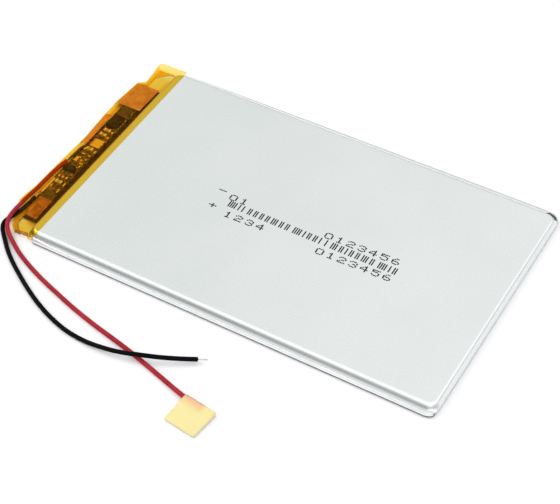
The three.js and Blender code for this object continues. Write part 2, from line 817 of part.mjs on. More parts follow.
add("insulating_paper", insulatingPaper(), "paper");
add("protection_board", box(BOARD.x0, BOARD.x1, BOARD.y0, BOARD.y1, BOARD.z0, BOARD.z1), "board");
add("mosfet_lead_frame", leadFrame(MOSFET), "gold");
add("mosfet", chipBody(MOSFET), "chip");
add("protection_chip_lead_frame", leadFrame(PROTECTION_CHIP), "solder");
add("protection_chip", chipBody(PROTECTION_CHIP), "chip");
add("filter_resistor", passive(-47.0, 5.35, 1.6, 0.8, 0.45), "passive");
add("supply_capacitor", passive(-47.0, 3.65, 1.6, 0.8, 0.6), "passive");
add("output_capacitor", passive(-46.9, -1.6, 1.6, 0.8, 0.6), "passive");
add("sense_resistor", passive(-47.0, -13.2, 1.6, 0.8, 0.45), "passive");
add("test_pad", boardPad(-48.2, -45.6, -0.3, 2.2), "gold");
add("edge_pad", boardPad(-48.85, -48.35, -17.3, -12.5), "gold");
add("positive_lead_pad", boardPad(-48.75, -47.6, -5.9, -4.5), "gold");

const redJoint = [
  [-48.75, -1.3, 1.42],
  [-48.85, -2.4, 1.52],
  [-48.9, -4.2, 1.54],
  [-49.05, -5.7, 1.48],
  [-49.38, -6.72, 1.18],
];
const blackJoint = [
  [-48.45, -17.9, 1.42],
  [-48.6, -18.5, 1.45],
  [-48.83, -19.22, 1.17],
];
add("red_solder_joint", rod(redJoint, [0.14, 0.27, 0.3, 0.27, 0.16]), "solder");
add("black_solder_joint", rod(blackJoint, [0.14, 0.2, 0.16]), "solder");

add("far_tape_patch", tapePatch(14.2, 22.4, 5, 10, 0.08), "doubleTape");
add("near_tape_patch", tapePatch(-25, -19.2, 5, 7, 0.08), "doubleTape");
add("edge_tape_patch", tapePatch(-0.6, 9.6, 8, 10, 0.08), "doubleTape");
add("head_tape", headTape(), "tape");

add("black_lead", lead(BLACK_ROUTE, LEAD_DIAMETER, 48), "blackPlastic");
add("black_lead_tip", lead(BLACK_TIP_ROUTE, 0.36, 1), "tinned");
add("red_lead", lead(RED_ROUTE, LEAD_DIAMETER, 52), "redPlastic");
add("red_lead_tip", lead(RED_TIP_ROUTE, 0.36, 1), "tinned");

const flag = add("red_lead_flag", foldedFlag(), "flag");
flag.position.set(FLAG.x, FLAG.y, 0);
flag.rotation.z = FLAG.turn;

export default cell;
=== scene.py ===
"""Blender looks for a flat lithium pouch cell with a taped protection board and two free leads.

Everything is in the CAD model's frame: +X runs to the folded foot, +Y across the cell, +Z up.
Shapes are written in millimetres and turned into metres as their meshes are made.
"""

import math
import random

import bmesh
import bpy
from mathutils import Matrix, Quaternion, Vector, noise


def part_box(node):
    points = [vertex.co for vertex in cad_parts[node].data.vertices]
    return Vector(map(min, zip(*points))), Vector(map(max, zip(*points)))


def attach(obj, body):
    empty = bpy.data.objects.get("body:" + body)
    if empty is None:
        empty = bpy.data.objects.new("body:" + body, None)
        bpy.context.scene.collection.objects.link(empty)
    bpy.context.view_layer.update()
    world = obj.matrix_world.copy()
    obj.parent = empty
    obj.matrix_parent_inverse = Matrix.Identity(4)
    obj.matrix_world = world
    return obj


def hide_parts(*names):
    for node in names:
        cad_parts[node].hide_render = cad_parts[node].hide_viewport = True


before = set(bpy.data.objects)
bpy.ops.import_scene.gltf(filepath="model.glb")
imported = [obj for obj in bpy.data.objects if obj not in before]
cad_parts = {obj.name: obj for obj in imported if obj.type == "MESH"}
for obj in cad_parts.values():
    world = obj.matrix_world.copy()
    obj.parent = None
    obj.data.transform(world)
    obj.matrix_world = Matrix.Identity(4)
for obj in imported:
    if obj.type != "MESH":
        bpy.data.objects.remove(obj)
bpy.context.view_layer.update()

MM = 0.001

# ---- Sizes taken from the frame, in millimetres 


def node_box(name):
    """Low and high corner of a CAD node's box."""
    low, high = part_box(name)
    return low / MM, high / MM


shell_high = node_box("pouch_front_shell")[1]
sheet_low, sheet_high = node_box("pouch_back_sheet")
tape_low, tape_high = node_box("head_tape")
board_high = node_box("protection_board")[1]

FILM = 0.11
SEAL_GAP = 0.01
TAPE = 0.05
FOOT_X = sheet_high.x
CUP_HEAD_X = FOOT_X - 95
TERRACE_END_X = sheet_low.x
TAPE_EDGE_X = tape_high.x
TOP_Z = shell_high.z
HALF_WIDTH = sheet_high.y
CUP_HALF_WIDTH = 29.2
CUP_CORNER = 2.4  # radius of the cup's upright corners
CUP_ROLL = 0.9  # radius of the roll from the top face into a wall
INK_ROOM = 0.008  # how far the top face stays under the CAD's, so that the print fits
LEAD_DIAMETER = 0.95
FLAG_ORIGIN = Vector((7.78, -48.72, 0.0))  # where the red lead goes into its flag
FLAG_TURN = -0.13
PASSIVE_MIDDLE_X = -47.0  # every two-ended chip on the board has its middle here
PASSIVE_BODY_HALF = 0.4

# ---- Camera ------------------------------------

AZIMUTH = math.radians(31.08)
ELEVATION = math.radians(47.1)
ROLL = math.radians(-1.21)
CAMERA_TARGET = Vector((4.28, -6.56, 0.0)) * MM
CAMERA_DISTANCE = 328.5 * MM
LENS = 101.9


def make_camera():
    back = Vector(
        (
            math.sin(AZIMUTH) * math.cos(ELEVATION),
            -math.cos(AZIMUTH) * math.cos(ELEVATION),
            math.sin(ELEVATION),
        )
    )
    data = bpy.data.cameras.new("camera")
    data.lens = LENS
    data.sensor_width = 36
    data.clip_start = 0.01
    data.clip_end = 20
    camera = bpy.data.objects.new("camera", data)
    bpy.context.scene.collection.objects.link(camera)
    camera.location = CAMERA_TARGET + back * CAMERA_DISTANCE
    camera.rotation_mode = "QUATERNION"
    level = (-back).to_track_quat("-Z", "Y")
    camera.rotation_quaternion = level @ Quaternion((0, 0, 1), ROLL)
    bpy.context.scene.camera = camera


make_camera()

# ---- Materials ---------------------------------


class Shading:
    """A new node material with its own millimetre coordinates."""

    def __init__(self, name):
        self.material = bpy.data.materials.new(name)
        self.material.use_nodes = True
        self.nodes = self.material.node_tree.nodes
        self.links = self.material.node_tree.links
        self.shader = self.nodes["Principled BSDF"]
        self.output = self.nodes["Material Output"]
        self.place = self.nodes.new("ShaderNodeVectorMath")
        self.place.operation = "SCALE"
        self.place.inputs["Scale"].default_value = 1 / MM
        coordinates = self.nodes.new("ShaderNodeTexCoord")
        self.links.new(coordinates.outputs["Object"], self.place.inputs[0])

    def set(self, **values):
        for name, value in values.items():
            self.shader.inputs[name.replace("_", " ")].default_value = value

    def stretched(self, scale):
        node = self.nodes.new("ShaderNodeVectorMath")
        node.operation = "MULTIPLY"
        node.inputs[1].default_value = scale
        self.links.new(self.place.outputs[0], node.inputs[0])
        return node.outputs[0]

    def noise(self, scale, detail=4.0, vector=None):
        node = self.nodes.new("ShaderNodeTexNoise")
        node.inputs["Scale"].default_value = scale
        node.inputs["Detail"].default_value = detail
        self.links.new(vector or self.place.outputs[0], node.inputs["Vector"])
        return node.outputs["Fac"]

    def ramp(self, factor, *stops):
        node = self.nodes.new("ShaderNodeValToRGB")
        elements = node.color_ramp.elements
        while len(elements) < len(stops):
            elements.new(0.5)
        for element, (position, colour) in zip(elements, stops):
            element.position = position
            element.color = (*colour, 1.0)
        self.links.new(factor, node.inputs["Fac"])
        return node.outputs["Color"]

    def span(self, factor, low, high, from_low=0.3, from_high=0.7):
        node = self.nodes.new("ShaderNodeMapRange")
        node.inputs["From Min"].default_value = from_low
        node.inputs["From Max"].default_value = from_high
        node.inputs["To Min"].default_value = low
        node.inputs["To Max"].default_value = high
        self.links.new(factor, node.inputs["Value"])
        return node.outputs["Result"]

    def math(self, operation, *values):
        node = self.nodes.new("ShaderNodeMath")
        node.operation = operation
        for socket, value in zip(node.inputs, values):
            if isinstance(value, (int, float)):
                socket.default_value = value
            else:
                self.links.new(value, socket)
        return node.outputs[0]

    def mix(self, factor, first, second, blend="MIX"):
        node = self.nodes.new("ShaderNodeMix")
        node.data_type = "RGBA"
        node.blend_type = blend
        if isinstance(factor, float):
            node.inputs["Factor"].default_value = factor
        else:
            self.links.new(factor, node.inputs["Factor"])
        for socket, value in ((node.inputs["A"], first), (node.inputs["B"], second)):
            if isinstance(value, tuple):
                socket.default_value = (*value, 1.0)
            else:
                self.links.new(value, socket)
        return node.outputs["Result"]

    def axis(self, name):
        node = self.nodes.new("ShaderNodeSeparateXYZ")
        self.links.new(self.place.outputs[0], node.inputs[0])
        return node.outputs[name]

    def colour(self, socket):
        self.links.new(socket, self.shader.inputs["Base Color"])

    def rough(self, socket):
        self.links.new(socket, self.shader.inputs["Roughness"])

    def bump(self, height, distance):
        node = self.nodes.new("ShaderNodeBump")
        node.inputs["Distance"].default_value = distance * MM
        self.links.new(height, node.inputs["Height"])
        self.links.new(node.outputs["Normal"], self.shader.inputs["Normal"])


def mottled(name, dark, light, grain, roughness, depth, **values):
    """A plain solid material: colour and roughness that vary with one noise, and a fine bump."""
    s = Shading(name)
    s.set(**values)
    pattern = s.noise(grain)
    s.colour(s.ramp(pattern, (0.3, dark), (0.7, light)))
    s.rough(s.span(pattern, roughness[0], roughness[1]))
    s.bump(s.noise(grain * 4), depth)
    return s.material


def pouch_film_material():
    """Aluminium laminated film: satin, faintly mottled, with fine rolling lines along the cell; painted light
    makes its top face lighter towards the foot and painted shade darkens its side walls.
    """
    s = Shading("pouch_film")
    s.set(Metallic=0.85, Coat_Weight=0.1, Coat_Roughness=0.15)
    cloud = s.noise(0.05, 3)
    # Painted light: the top face goes from a painted dim tone at the head to a painted lit tone at the foot.
    painted_dim_face = s.ramp(cloud, (0.35, (0.695, 0.738, 0.720)), (0.65, (0.722, 0.762, 0.746)))
    painted_lit_face = s.ramp(cloud, (0.35, (0.770, 0.797, 0.790)), (0.65, (0.798, 0.822, 0.816)))
    face = s.mix(s.span(s.axis("X"), 0.0, 1.0, -30.0, 45.0), painted_dim_face, painted_lit_face)
    # Painted shade: the side walls are coloured a darker grey, deepest towards their top, but not at the
    # foot.
    up_wall = s.span(s.axis("Z"), 0.0, 1.0, 1.0, 2.2)
    painted_wall_shade = s.ramp(up_wall, (0.1, (0.62, 0.65, 0.64)), (0.6, (0.43, 0.45, 0.44)))
    at_foot = s.span(s.axis("X"), 0.0, 1.0, FOOT_X - 1.3, FOOT_X - 0.4)
    wall = s.mix(at_foot, painted_wall_shade, (0.78, 0.80, 0.795))
    s.colour(s.mix(s.span(s.axis("Z"), 0.0, 1.0, 1.7, 2.15), wall, face))
    lines = s.noise(1.0, 5, s.stretched((0.12, 6.0, 6.0)))
    s.rough(s.span(s.noise(0.6, 5), 0.24, 0.31))
    grain = s.noise(9.0, 3)
    height = s.math("ADD", s.math("MULTIPLY", lines, 0.6), s.math("MULTIPLY", grain, 0.5))
    s.bump(height, 0.0009)
    return s.material


def seal_film_material(name, folded):
    """The same film where it is heat sealed; a folded side seal has pressed lines, and painted shade along
    it: dark at its bottom bend, a grey line at its crease and a darker top rim.
    """
    s = Shading(name)
    s.set(Metallic=0.75, Coat_Weight=0.1, Coat_Roughness=0.2)
    cloud = s.noise(0.3, 4)
    s.rough(s.span(cloud, 0.28, 0.4))
    clean = s.ramp(cloud, (0.35, (0.82, 0.835, 0.84)), (0.65, (0.90, 0.91, 0.912)))
    if not folded:
        s.colour(clean)
        return s.material
    height = s.axis("Z")
    white = (1.0, 1.0, 1.0)
    # Painted shadow: dark along the bottom bend, where the seal meets the floor.
    painted_fold_shadow = s.ramp(s.span(height, 0.0, 1.0, 0.0, 0.8), (0.56, (0.03, 0.032, 0.035)), (0.74, white))
    # Painted shade: a grey line at the crease.
    near_crease = s.span(height, 0.0, 1.0, 0.9, 1.3)
    crease = s.ramp(near_crease, (0.35, white), (0.5, (0.5, 0.51, 0.51)), (0.65, white))
    # Painted shade: the seal turns darker above about 1.75 mm, at its top rim.
    rim = s.mix(s.span(height, 0.0, 1.0, 1.75, 1.95), clean, (0.66, 0.68, 0.675))
    shaded = s.mix(1.0, rim, painted_fold_shadow, "MULTIPLY")
    s.colour(s.mix(1.0, shaded, crease, "MULTIPLY"))
    wave = s.nodes.new("ShaderNodeTexWave")
    wave.inputs["Scale"].default_value = 0.9
    wave.inputs["Distortion"].default_value = 0.6
    s.links.new(s.stretched((1.0, 1.0, 1.4)), wave.inputs["Vector"])
    s.bump(s.math("ADD", wave.outputs["Fac"], s.noise(3.0, 4)), 0.012)
    return s.material


def see_through(s, tint, solidity):
    """Lets light of the tint's colour through s's shader, except for the share solidity."""
    clear = s.nodes.new("ShaderNodeBsdfTransparent")
    clear.inputs["Color"].default_value = (*tint, 1.0)
    mix = s.nodes.new("ShaderNodeMixShader")
    s.links.new(solidity, mix.inputs["Fac"])
    s.links.new(clear.outputs["BSDF"], mix.inputs[1])
    s.links.new(s.shader.outputs["BSDF"], mix.inputs[2])
    s.links.new(mix.outputs["Shader"], s.output.inputs["Surface"])


def tape_material(name, dark, light, coat, rough, cloud, relief, tint, haze, solidity):
    """Polyimide tape: film of one tint with its adhesive's fine clouding; more layers are less clear."""
    s = Shading(name)
    s.set(IOR=1.6, Coat_Weight=coat[0], Coat_Roughness=coat[1])
    pattern = s.noise(*cloud)
    s.colour(s.ramp(pattern, (0.3, dark), (0.7, light)))
    s.rough(s.span(pattern, *rough))
    s.bump(s.noise(relief[0], 4), relief[1])
    see_through(s, tint, s.span(s.noise(*haze), *solidity))
    return s.material


def orange_tape_material(name, dark, light, solidity):
    """The same tape in more layers, deeper in colour."""
    tint = (0.9, 0.56, 0.26)
    return tape_material(
        name, dark, light, (0.3, 0.12), (0.15, 0.3), (0.9, 5), (1.5, 0.03), tint, (0.5, 3), solidity
    )


def board_material():
    """Dark solder mask with copper tracks showing faintly under it."""
    s = Shading("circuit_board")
    s.set(IOR=1.5, Specular_IOR_Level=0.15)
    tracks = s.nodes.new("ShaderNodeTexVoronoi")
    tracks.feature = "DISTANCE_TO_EDGE"
    tracks.inputs["Scale"].default_value = 0.9
    s.links.new(s.stretched((1.0, 0.8, 0.0)), tracks.inputs["Vector"])
    edge = s.span(tracks.outputs["Distance"], 1.0, 0.0, 0.04, 0.12)
    mask = s.ramp(s.noise(1.2, 4), (0.3, (0.026, 0.017, 0.006)), (0.7, (0.055, 0.036, 0.012)))
    s.colour(s.mix(edge, mask, (0.18, 0.09, 0.025)))
    s.rough(s.span(s.noise(3.0), 0.28, 0.42))
    s.bump(edge, 0.01)
    return s.material


def metal_material(name, dark, light, roughness, brushed=(1.0, 1.0, 1.0), depth=0.006):
    s = Shading(name)
    s.set(Metallic=1.0)
    grain = s.noise(2.5, 5, s.stretched(brushed))
    s.colour(s.ramp(grain, (0.3, dark), (0.7, light)))
    s.rough(s.span(grain, roughness[0], roughness[1]))
    s.bump(grain, depth)
    return s.material


def passive_material():
    """Tan ceramic with bright tinned ends; every two-ended chip lies along X on the same line."""
    s = Shading("chip_ceramic")
    distance = s.math("ABSOLUTE", s.math("SUBTRACT", s.axis("X"), PASSIVE_MIDDLE_X))
    ends = s.math("GREATER_THAN", distance, PASSIVE_BODY_HALF)
    body = s.ramp(s.noise(3.0), (0.3, (0.33, 0.22, 0.11)), (0.7, (0.45, 0.32, 0.17)))
    s.colour(s.mix(ends, body, (0.86, 0.78, 0.62)))
    s.links.new(ends, s.shader.inputs["Metallic"])
    s.rough(s.span(s.noise(4.0), 0.3, 0.45))
    s.bump(s.noise(6.0), 0.008)
    return s.material


def lead_material(name, dark, light):
    """Soft lead insulation: slightly uneven, with faint marks from drawing it."""
    s = Shading(name)
    s.set(IOR=1.45, Specular_IOR_Level=0.06)
    cloud = s.noise(0.5, 4)
    s.colour(s.ramp(cloud, (0.3, dark), (0.7, light)))
    s.rough(s.span(s.noise(1.5, 4), 0.36, 0.5))
    s.bump(s.noise(5.0, 3), 0.006)
    return s.material


def flag_material():
    """Creped pale yellow tape; the red lead shows through it along its folded edge, painted shade darkens its
    lower sides and a painted shadow of the lead runs along that edge.
    """
    s = Shading("flag_tape")
    s.set(Subsurface_Weight=0.25, Subsurface_Scale=0.5 * MM, Specular_IOR_Level=0.25)
    s.shader.inputs["Subsurface Radius"].default_value = (1.0, 0.8, 0.4)
    cloud = s.noise(0.35, 4)
    paper = s.ramp(cloud, (0.3, (0.73, 0.645, 0.28)), (0.7, (0.765, 0.685, 0.335)))
    slope = math.tan(FLAG_TURN)
    line = s.math("MULTIPLY_ADD", s.axis("X"), -slope, s.axis("Y"))
    across = s.math("SUBTRACT", line, FLAG_ORIGIN.y - slope * FLAG_ORIGIN.x)
    near_lead = s.span(across, 0.0, 1.0, -1.9, -0.1)
    before_end = s.span(s.axis("X"), 1.0, 0.0, FLAG_ORIGIN.x + 4.2, FLAG_ORIGIN.x + 5.4)
    lead = s.math("MULTIPLY", near_lead, before_end)
    # Painted shade: the flag's lower sides are coloured a darker beige.
    sides = s.span(s.axis("Z"), 1.0, 0.0, 0.55, 0.78)
    painted_side_shade = s.mix(sides, paper, (0.66, 0.585, 0.42))
    pink = s.mix(s.math("MULTIPLY", lead, 0.9), painted_side_shade, (0.74, 0.42, 0.23))
    # Painted shadow of the lead: a dark brown line along the folded edge.
    painted_fold_shadow = s.math("MULTIPLY", s.span(across, 0.0, 0.75, 0.05, 0.4), before_end)
    s.colour(s.mix(painted_fold_shadow, pink, (0.36, 0.20, 0.12)))
    s.rough(s.span(cloud, 0.62, 0.8))
    crepe = s.noise(2.0, 5, s.stretched((1.0, 0.35, 1.0)))
    s.bump(crepe, 0.035)
    return s.material


FILM_LOOK = pouch_film_material()
SEAL_LOOK = seal_film_material("folded_seal", True)
TERRACE_LOOK = seal_film_material("head_seal", False)
AMBER_LOOK = tape_material(
    "amber_tape",
    dark=(0.80, 0.30, 0.03),
    light=(0.92, 0.42, 0.06),
    coat=(0.2, 0.1),
    rough=(0.12, 0.25),
    cloud=(0.7, 5),
    relief=(1.3, 0.03),
    tint=(0.97, 0.865, 0.475),
    haze=(0.9, 4),
    solidity=(0.006, 0.025),
)
ORANGE_LOOK = orange_tape_material("orange_tape", (0.84, 0.43, 0.34), (0.95, 0.55, 0.50), (0.34, 0.54))
BROWN_TAPE_LOOK = orange_tape_material("brown_tape", (0.42, 0.15, 0.05), (0.9, 0.42, 0.22), (0.16, 0.42))
# Painted shade: the crumpled end of the sleeve is a denser tape coloured darker orange for the shade inside
# the sleeve's end.
SHADED_FOLD_LOOK = tape_material(
    "folded_tape",
    dark=(0.40, 0.17, 0.012),
    light=(0.66, 0.36, 0.04),
    coat=(0.3, 0.1),
    rough=(0.15, 0.3),
    cloud=(0.9, 4),
    relief=(1.6, 0.05),
    tint=(0.88, 0.62, 0.2),
    haze=(0.7, 4),
    solidity=(0.45, 0.7),
)
BOARD_LOOK = board_material()
PASSIVE_LOOK = passive_material()
FLAG_LOOK = flag_material()
BLACK_LEAD_LOOK = lead_material("black_insulation", (0.0008, 0.0008, 0.0009), (0.0016, 0.0016, 0.0018))
RED_LEAD_LOOK = lead_material("red_insulation", (0.29, 0.017, 0.026), (0.38, 0.027, 0.037))

BRUSHED_ALONG_X = (0.2, 3.0, 3.0)
EVEN_GRAIN = (3.0, 3.0, 3.0)
# Painted shade: the straps are coloured far darker than bare nickel, for how dim they lie under the board and
# tape.
STRAP_PAINTED_SHADE_LOOK = metal_material(
    "strap", (0.07, 0.052, 0.036), (0.14, 0.11, 0.08), (0.4, 0.55), BRUSHED_ALONG_X
)
NICKEL_LOOK = metal_material(
    "nickel", (0.20, 0.17, 0.14), (0.34, 0.30, 0.25), (0.35, 0.5), BRUSHED_ALONG_X
)
ALUMINIUM_LOOK = metal_material(
    "aluminium", (0.72, 0.73, 0.74), (0.84, 0.84, 0.85), (0.25, 0.4), BRUSHED_ALONG_X
)
GOLD_LOOK = metal_material("gold_plate", (0.80, 0.50, 0.16), (0.95, 0.68, 0.28), (0.18, 0.32))
SOLDER_LOOK = metal_material("solder", (0.62, 0.61, 0.58), (0.80, 0.79, 0.76), (0.14, 0.3), depth=0.02)
STRAND_LOOK = metal_material("strands", (0.55, 0.50, 0.42), (0.78, 0.74, 0.66), (0.2, 0.4), EVEN_GRAIN)

INK_LOOK = mottled(
    "ink", (0.006, 0.007, 0.008), (0.02, 0.022, 0.024), 3.0, (0.6, 0.8), 0.003, Specular_IOR_Level=0.1
)
MOULDING_LOOK = mottled(
    "chip_moulding",
    (0.006, 0.004, 0.003),
    (0.016, 0.010, 0.008),
    4.0,
    (0.4, 0.55),
    0.01,
    Specular_IOR_Level=0.12,
)
# Painted shade: brown paper, coloured darker still for the shaded gap it shows under the board.
PAPER_PAINTED_SHADE_LOOK = mottled(
    "insulating_paper",
    (0.035, 0.018, 0.007),
    (0.07, 0.038, 0.016),
    1.5,
    (0.8, 0.9),
    0.02,
    Specular_IOR_Level=0.1,
)
SEALANT_LOOK = mottled("tab_sealant", (0.66, 0.63, 0.52), (0.78, 0.75, 0.66), 1.0, (0.4, 0.55), 0.01)
GRAPHITE_LOOK = mottled("anode_coating", (0.015, 0.015, 0.017), (0.04, 0.04, 0.044), 2.0, (0.75, 0.9), 0.01)
OXIDE_LOOK = mottled("cathode_coating", (0.02, 0.017, 0.018), (0.05, 0.044, 0.045), 2.0, (0.7, 0.85), 0.01)
SEPARATOR_LOOK = mottled("separator_film", (0.82, 0.82, 0.80), (0.90, 0.90, 0.88), 1.2, (0.5, 0.65), 0.004)

# ---- Mesh helpers ------------------------------


def add_piece(name, data, look):
    """A new piece of the object, which rides on its one body."""
    piece = bpy.data.objects.new(name, data)
    bpy.context.scene.collection.objects.link(piece)
    piece.data.materials.append(look)
    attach(piece, "root")
    return piece


def mesh_from(name, points, faces):
    """A smooth mesh from points in millimetres."""
    data = bpy.data.meshes.new(name)
    data.from_pydata([Vector(p) * MM for p in points], [], faces)
    data.validate()
    for polygon in data.polygons:
        polygon.use_smooth = True
    return data


def grid_faces(rows, columns, flip=False):
    faces = []
    for row in range(rows - 1):
        for column in range(columns - 1):
            a = row * columns + column
            face = (a, a + 1, a + columns + 1, a + columns)
            faces.append(face[::-1] if flip else face)
    return faces


def loop_faces(first, loops, sides, ring=False):
    """Faces round a tube of loops of sides points each, its points being numbered from first."""
    faces = []
    for loop in range(loops if ring else loops - 1):
        here = first + loop * sides
        there = first + (loop + 1) % loops * sides
        for k in range(sides):
            after = (k + 1) % sides
            faces.append((here + k, here + after, there + after, there + k))
    return faces


def rod_faces(first, loops, sides):
    """The faces of such a tube and of its two ends."""
    last = first + (loops - 1) * sides
    ends = [tuple(range(first, first + sides))[::-1], tuple(range(last, last + sides))]
    return loop_faces(first, loops, sides) + ends


def grid_mesh(name, rows, flip=False):
    return mesh_from(name, [p for row in rows for p in row], grid_faces(len(rows), len(rows[0]), flip))


def add_sheet(name, rows, look, thickness, offset=0.0, flip=False):
    """A piece of sheet through rows of points; offset -1 gives it its thickness against its normals only."""
    piece = add_piece(name, grid_mesh(name, rows, flip), look)
    modifier = piece.modifiers.new("thickness", "SOLIDIFY")
    modifier.thickness = thickness * MM
    modifier.offset = offset
    modifier.use_even_offset = True
    return piece


def soften(piece, width):
    modifier = piece.modifiers.new("soft_edges", "BEVEL")
    modifier.width = width * MM
    modifier.segments = 2
    modifier.limit_method = "ANGLE"


def ease(value, low, high):
    """0 below low, 1 above high and a smooth step between."""
    t = min(max((value - low) / (high - low), 0.0), 1.0)
    return t * t * (3 - 2 * t)


def between(pairs, y):
    """The value at y between pairs of (y, value)."""
    if y <= pairs[0][0]:
        return pairs[0][1]
    for (y0, v0), (y1, v1) in zip(pairs, pairs[1:]):
        if y <= y1:
            return v0 + (v1 - v0) * (y - y0) / (y1 - y0)
    return pairs[-1][1]


def ripple(x, y, scale, seed=0.0):
    """Smooth noise from -1 to 1 whose waves are about scale millimetres long."""
    return noise.noise(Vector((x / scale, y / scale, seed)))


def smooth_path(points, step):
    """Points about step apart on a centripetal curve through the given ones."""
    points = [Vector(p) for p in points]
    padded = [2 * points[0] - points[1], *points, 2 * points[-1] - points[-2]]
    path = []
    for before, start, end, after in zip(padded, padded[1:], padded[2:], padded[3:]):
        t0 = 0.0
        t1 = t0 + max((start - before).length, 1e-6) ** 0.5
        t2 = t1 + max((end - start).length, 1e-6) ** 0.5
        t3 = t2 + max((after - end).length, 1e-6) ** 0.5
        count = max(1, round((end - start).length / step))
        for k in range(count):
            t = t1 + (t2 - t1) * k / count
            a1 = before * ((t1 - t) / (t1 - t0)) + start * ((t - t0) / (t1 - t0))
            a2 = start * ((t2 - t) / (t2 - t1)) + end * ((t - t1) / (t2 - t1))
            a3 = end * ((t3 - t) / (t3 - t2)) + after * ((t - t2) / (t3 - t2))
            b1 = a1 * ((t2 - t) / (t2 - t0)) + a2 * ((t - t0) / (t2 - t0))
            b2 = a2 * ((t3 - t) / (t3 - t1)) + a3 * ((t - t1) / (t3 - t1))
            path.append(b1 * ((t2 - t) / (t2 - t1)) + b2 * ((t - t1) / (t2 - t1)))
    path.append(points[-1])
    return path


def even_path(points, count):
    """count points, evenly spaced along a smooth curve through the given ones."""
    path = smooth_path(points, 0.1)
    lengths = [0.0]
    for a, b in zip(path, path[1:]):
        lengths.append(lengths[-1] + (b - a).length)
    spread = []
    index = 0
    for k in range(count):
        target = lengths[-1] * k / (count - 1)
        while index + 2 < len(path) and lengths[index + 1] < target:
            index += 1
        span = max(lengths[index + 1] - lengths[index], 1e-9)
        spread.append(path[index].lerp(path[index + 1], min((target - lengths[index]) / span, 1.0)))
    return spread


# ---- Leads -------------------------------------

BLACK_ROUTE = (
    (-48.85, -19.3, 1.15),
    (-49.0, -20.8, 0.92),
    (-49.35, -22.3, 0.68),
    (-49.6, -23.8, 0.6),
    (-50.0, -25.5, 0.58),
    (-50.5, -27.0, 0.52),
    (-50.55, -28.3, 0.5),
    (-49.9, -29.6, 0.5),
    (-48.7, -30.9, 0.5),
    (-47.0, -32.5, 0.5),
    (-44.8, -34.5, 0.5),
    (-42.4, -36.3, 0.5),
    (-39.2, -38.4, 0.5),
    (-35.2, -40.8, 0.5),
    (-31.2, -42.9, 0.5),
    (-26.9, -44.7, 0.5),
    (-22.0, -46.1, 0.5),
    (-17.3, -46.6, 0.55),
    (-13.2, -46.6, 1.0),
    (-8.9, -46.2, 1.6),
    (-5.0, -45.0, 1.8),
    (-1.3, -43.4, 1.55),
    (2.1, -41.6, 1.25),
    (5.2, -39.8, 1.0),
)
RED_ROUTE = (
    (-49.45, -6.9, 1.15),
    (-49.72, -9.0, 1.2),
    (-49.9, -11.5, 1.2),
    (-49.95, -14.5, 1.22),
    (-50.0, -17.5, 1.25),
    (-50.08, -20.3, 1.45),
    (-50.0, -22.6, 1.62),
    (-49.9, -25.0, 1.78),
    (-49.6, -27.3, 1.78),
    (-48.8, -29.2, 1.42),
    (-47.4, -30.6, 1.0),
    (-45.3, -32.0, 0.65),
    (-42.7, -33.6, 0.5),
    (-39.0, -35.4, 0.5),
    (-34.5, -37.2, 0.5),
    (-29.4, -38.9, 0.5),
    (-23.9, -40.6, 0.5),
    (-18.1, -42.1, 0.5),
    (-12.0, -43.4, 0.5),
    (-7.6, -44.4, 0.5),
    (-2.0, -45.9, 0.5),
    (2.6, -47.2, 0.52),
    (5.6, -48.15, 0.7),
    (7.78, -48.72, 0.83),
    (9.2, -48.91, 0.83),
    (10.6, -49.09, 0.83),
)
BLACK_TIP = (Vector((5.15, -39.83, 1.0)), Vector((6.9, -38.85, 0.9)))
RED_TIP = (Vector((10.55, -49.08, 0.83)), Vector((12.4, -49.33, 0.83)))


def path_length(path):
    return sum((b - a).length for a, b in zip(path, path[1:]))


def make_lead(name, route, look):
    """A round lead along its route. Returns the piece and its length in millimetres."""
    path = smooth_path(route, 0.5)
    data = bpy.data.curves.new(name, "CURVE")
    data.dimensions = "3D"
    data.bevel_depth = LEAD_DIAMETER / 2 * MM
    data.bevel_resolution = 6
    data.use_fill_caps = True
    spline = data.splines.new("POLY")
    spline.points.add(len(path) - 1)
    for point, place in zip(spline.points, path):
        point.co = (*(place * MM), 1.0)
    spline.use_smooth = True
    return add_piece(name, data, look), path_length(path)


def make_strands(name, ends, count, radius, strand):
    """A short twist of bare strands between two points."""
    start, end = ends
    along = (end - start).normalized()
    side = along.cross(Vector((0, 0, 1))).normalized()
    up = side.cross(along)
    points = []
    faces = []
    steps = 14
    sides = 8
    turns = 1.3
    for k in range(count):
        first = len(points)
        phase = 2 * math.pi * k / count
        for step in range(steps + 1):
            t = step / steps
            angle = phase + 2 * math.pi * turns * t
            splay = radius * (1 + 0.5 * t * t)
            centre = start.lerp(end, t * (1 - 0.05 * (k % 3)))
            centre = centre + (side * math.cos(angle) + up * math.sin(angle)) * splay
            for corner in range(sides):
                turn = 2 * math.pi * corner / sides
                points.append(centre + (side * math.cos(turn) + up * math.sin(turn)) * strand)
        faces += rod_faces(first, steps + 1, sides)
    return add_piece(name, mesh_from(name, points, faces), STRAND_LOOK)


FLAG_LENGTH = 7.3
FLAG_DEPTH = 6.15
FLAG_HEIGHTS = (
    (-6.2, 0.82),
    (-5.0, 0.86),
    (-2.6, 0.98),
    (-1.4, 1.18),
    (-0.6, 1.36),
    (0.0, 1.44),
)


def flag_top(y):
    """Height of the flag's upper face, y being measured across it from the lead."""
    return between(FLAG_HEIGHTS, y)


def flag_length(y):
    """The flag's length along the lead, a little less at its free edge."""
    return FLAG_LENGTH + 0.07 * y / FLAG_DEPTH


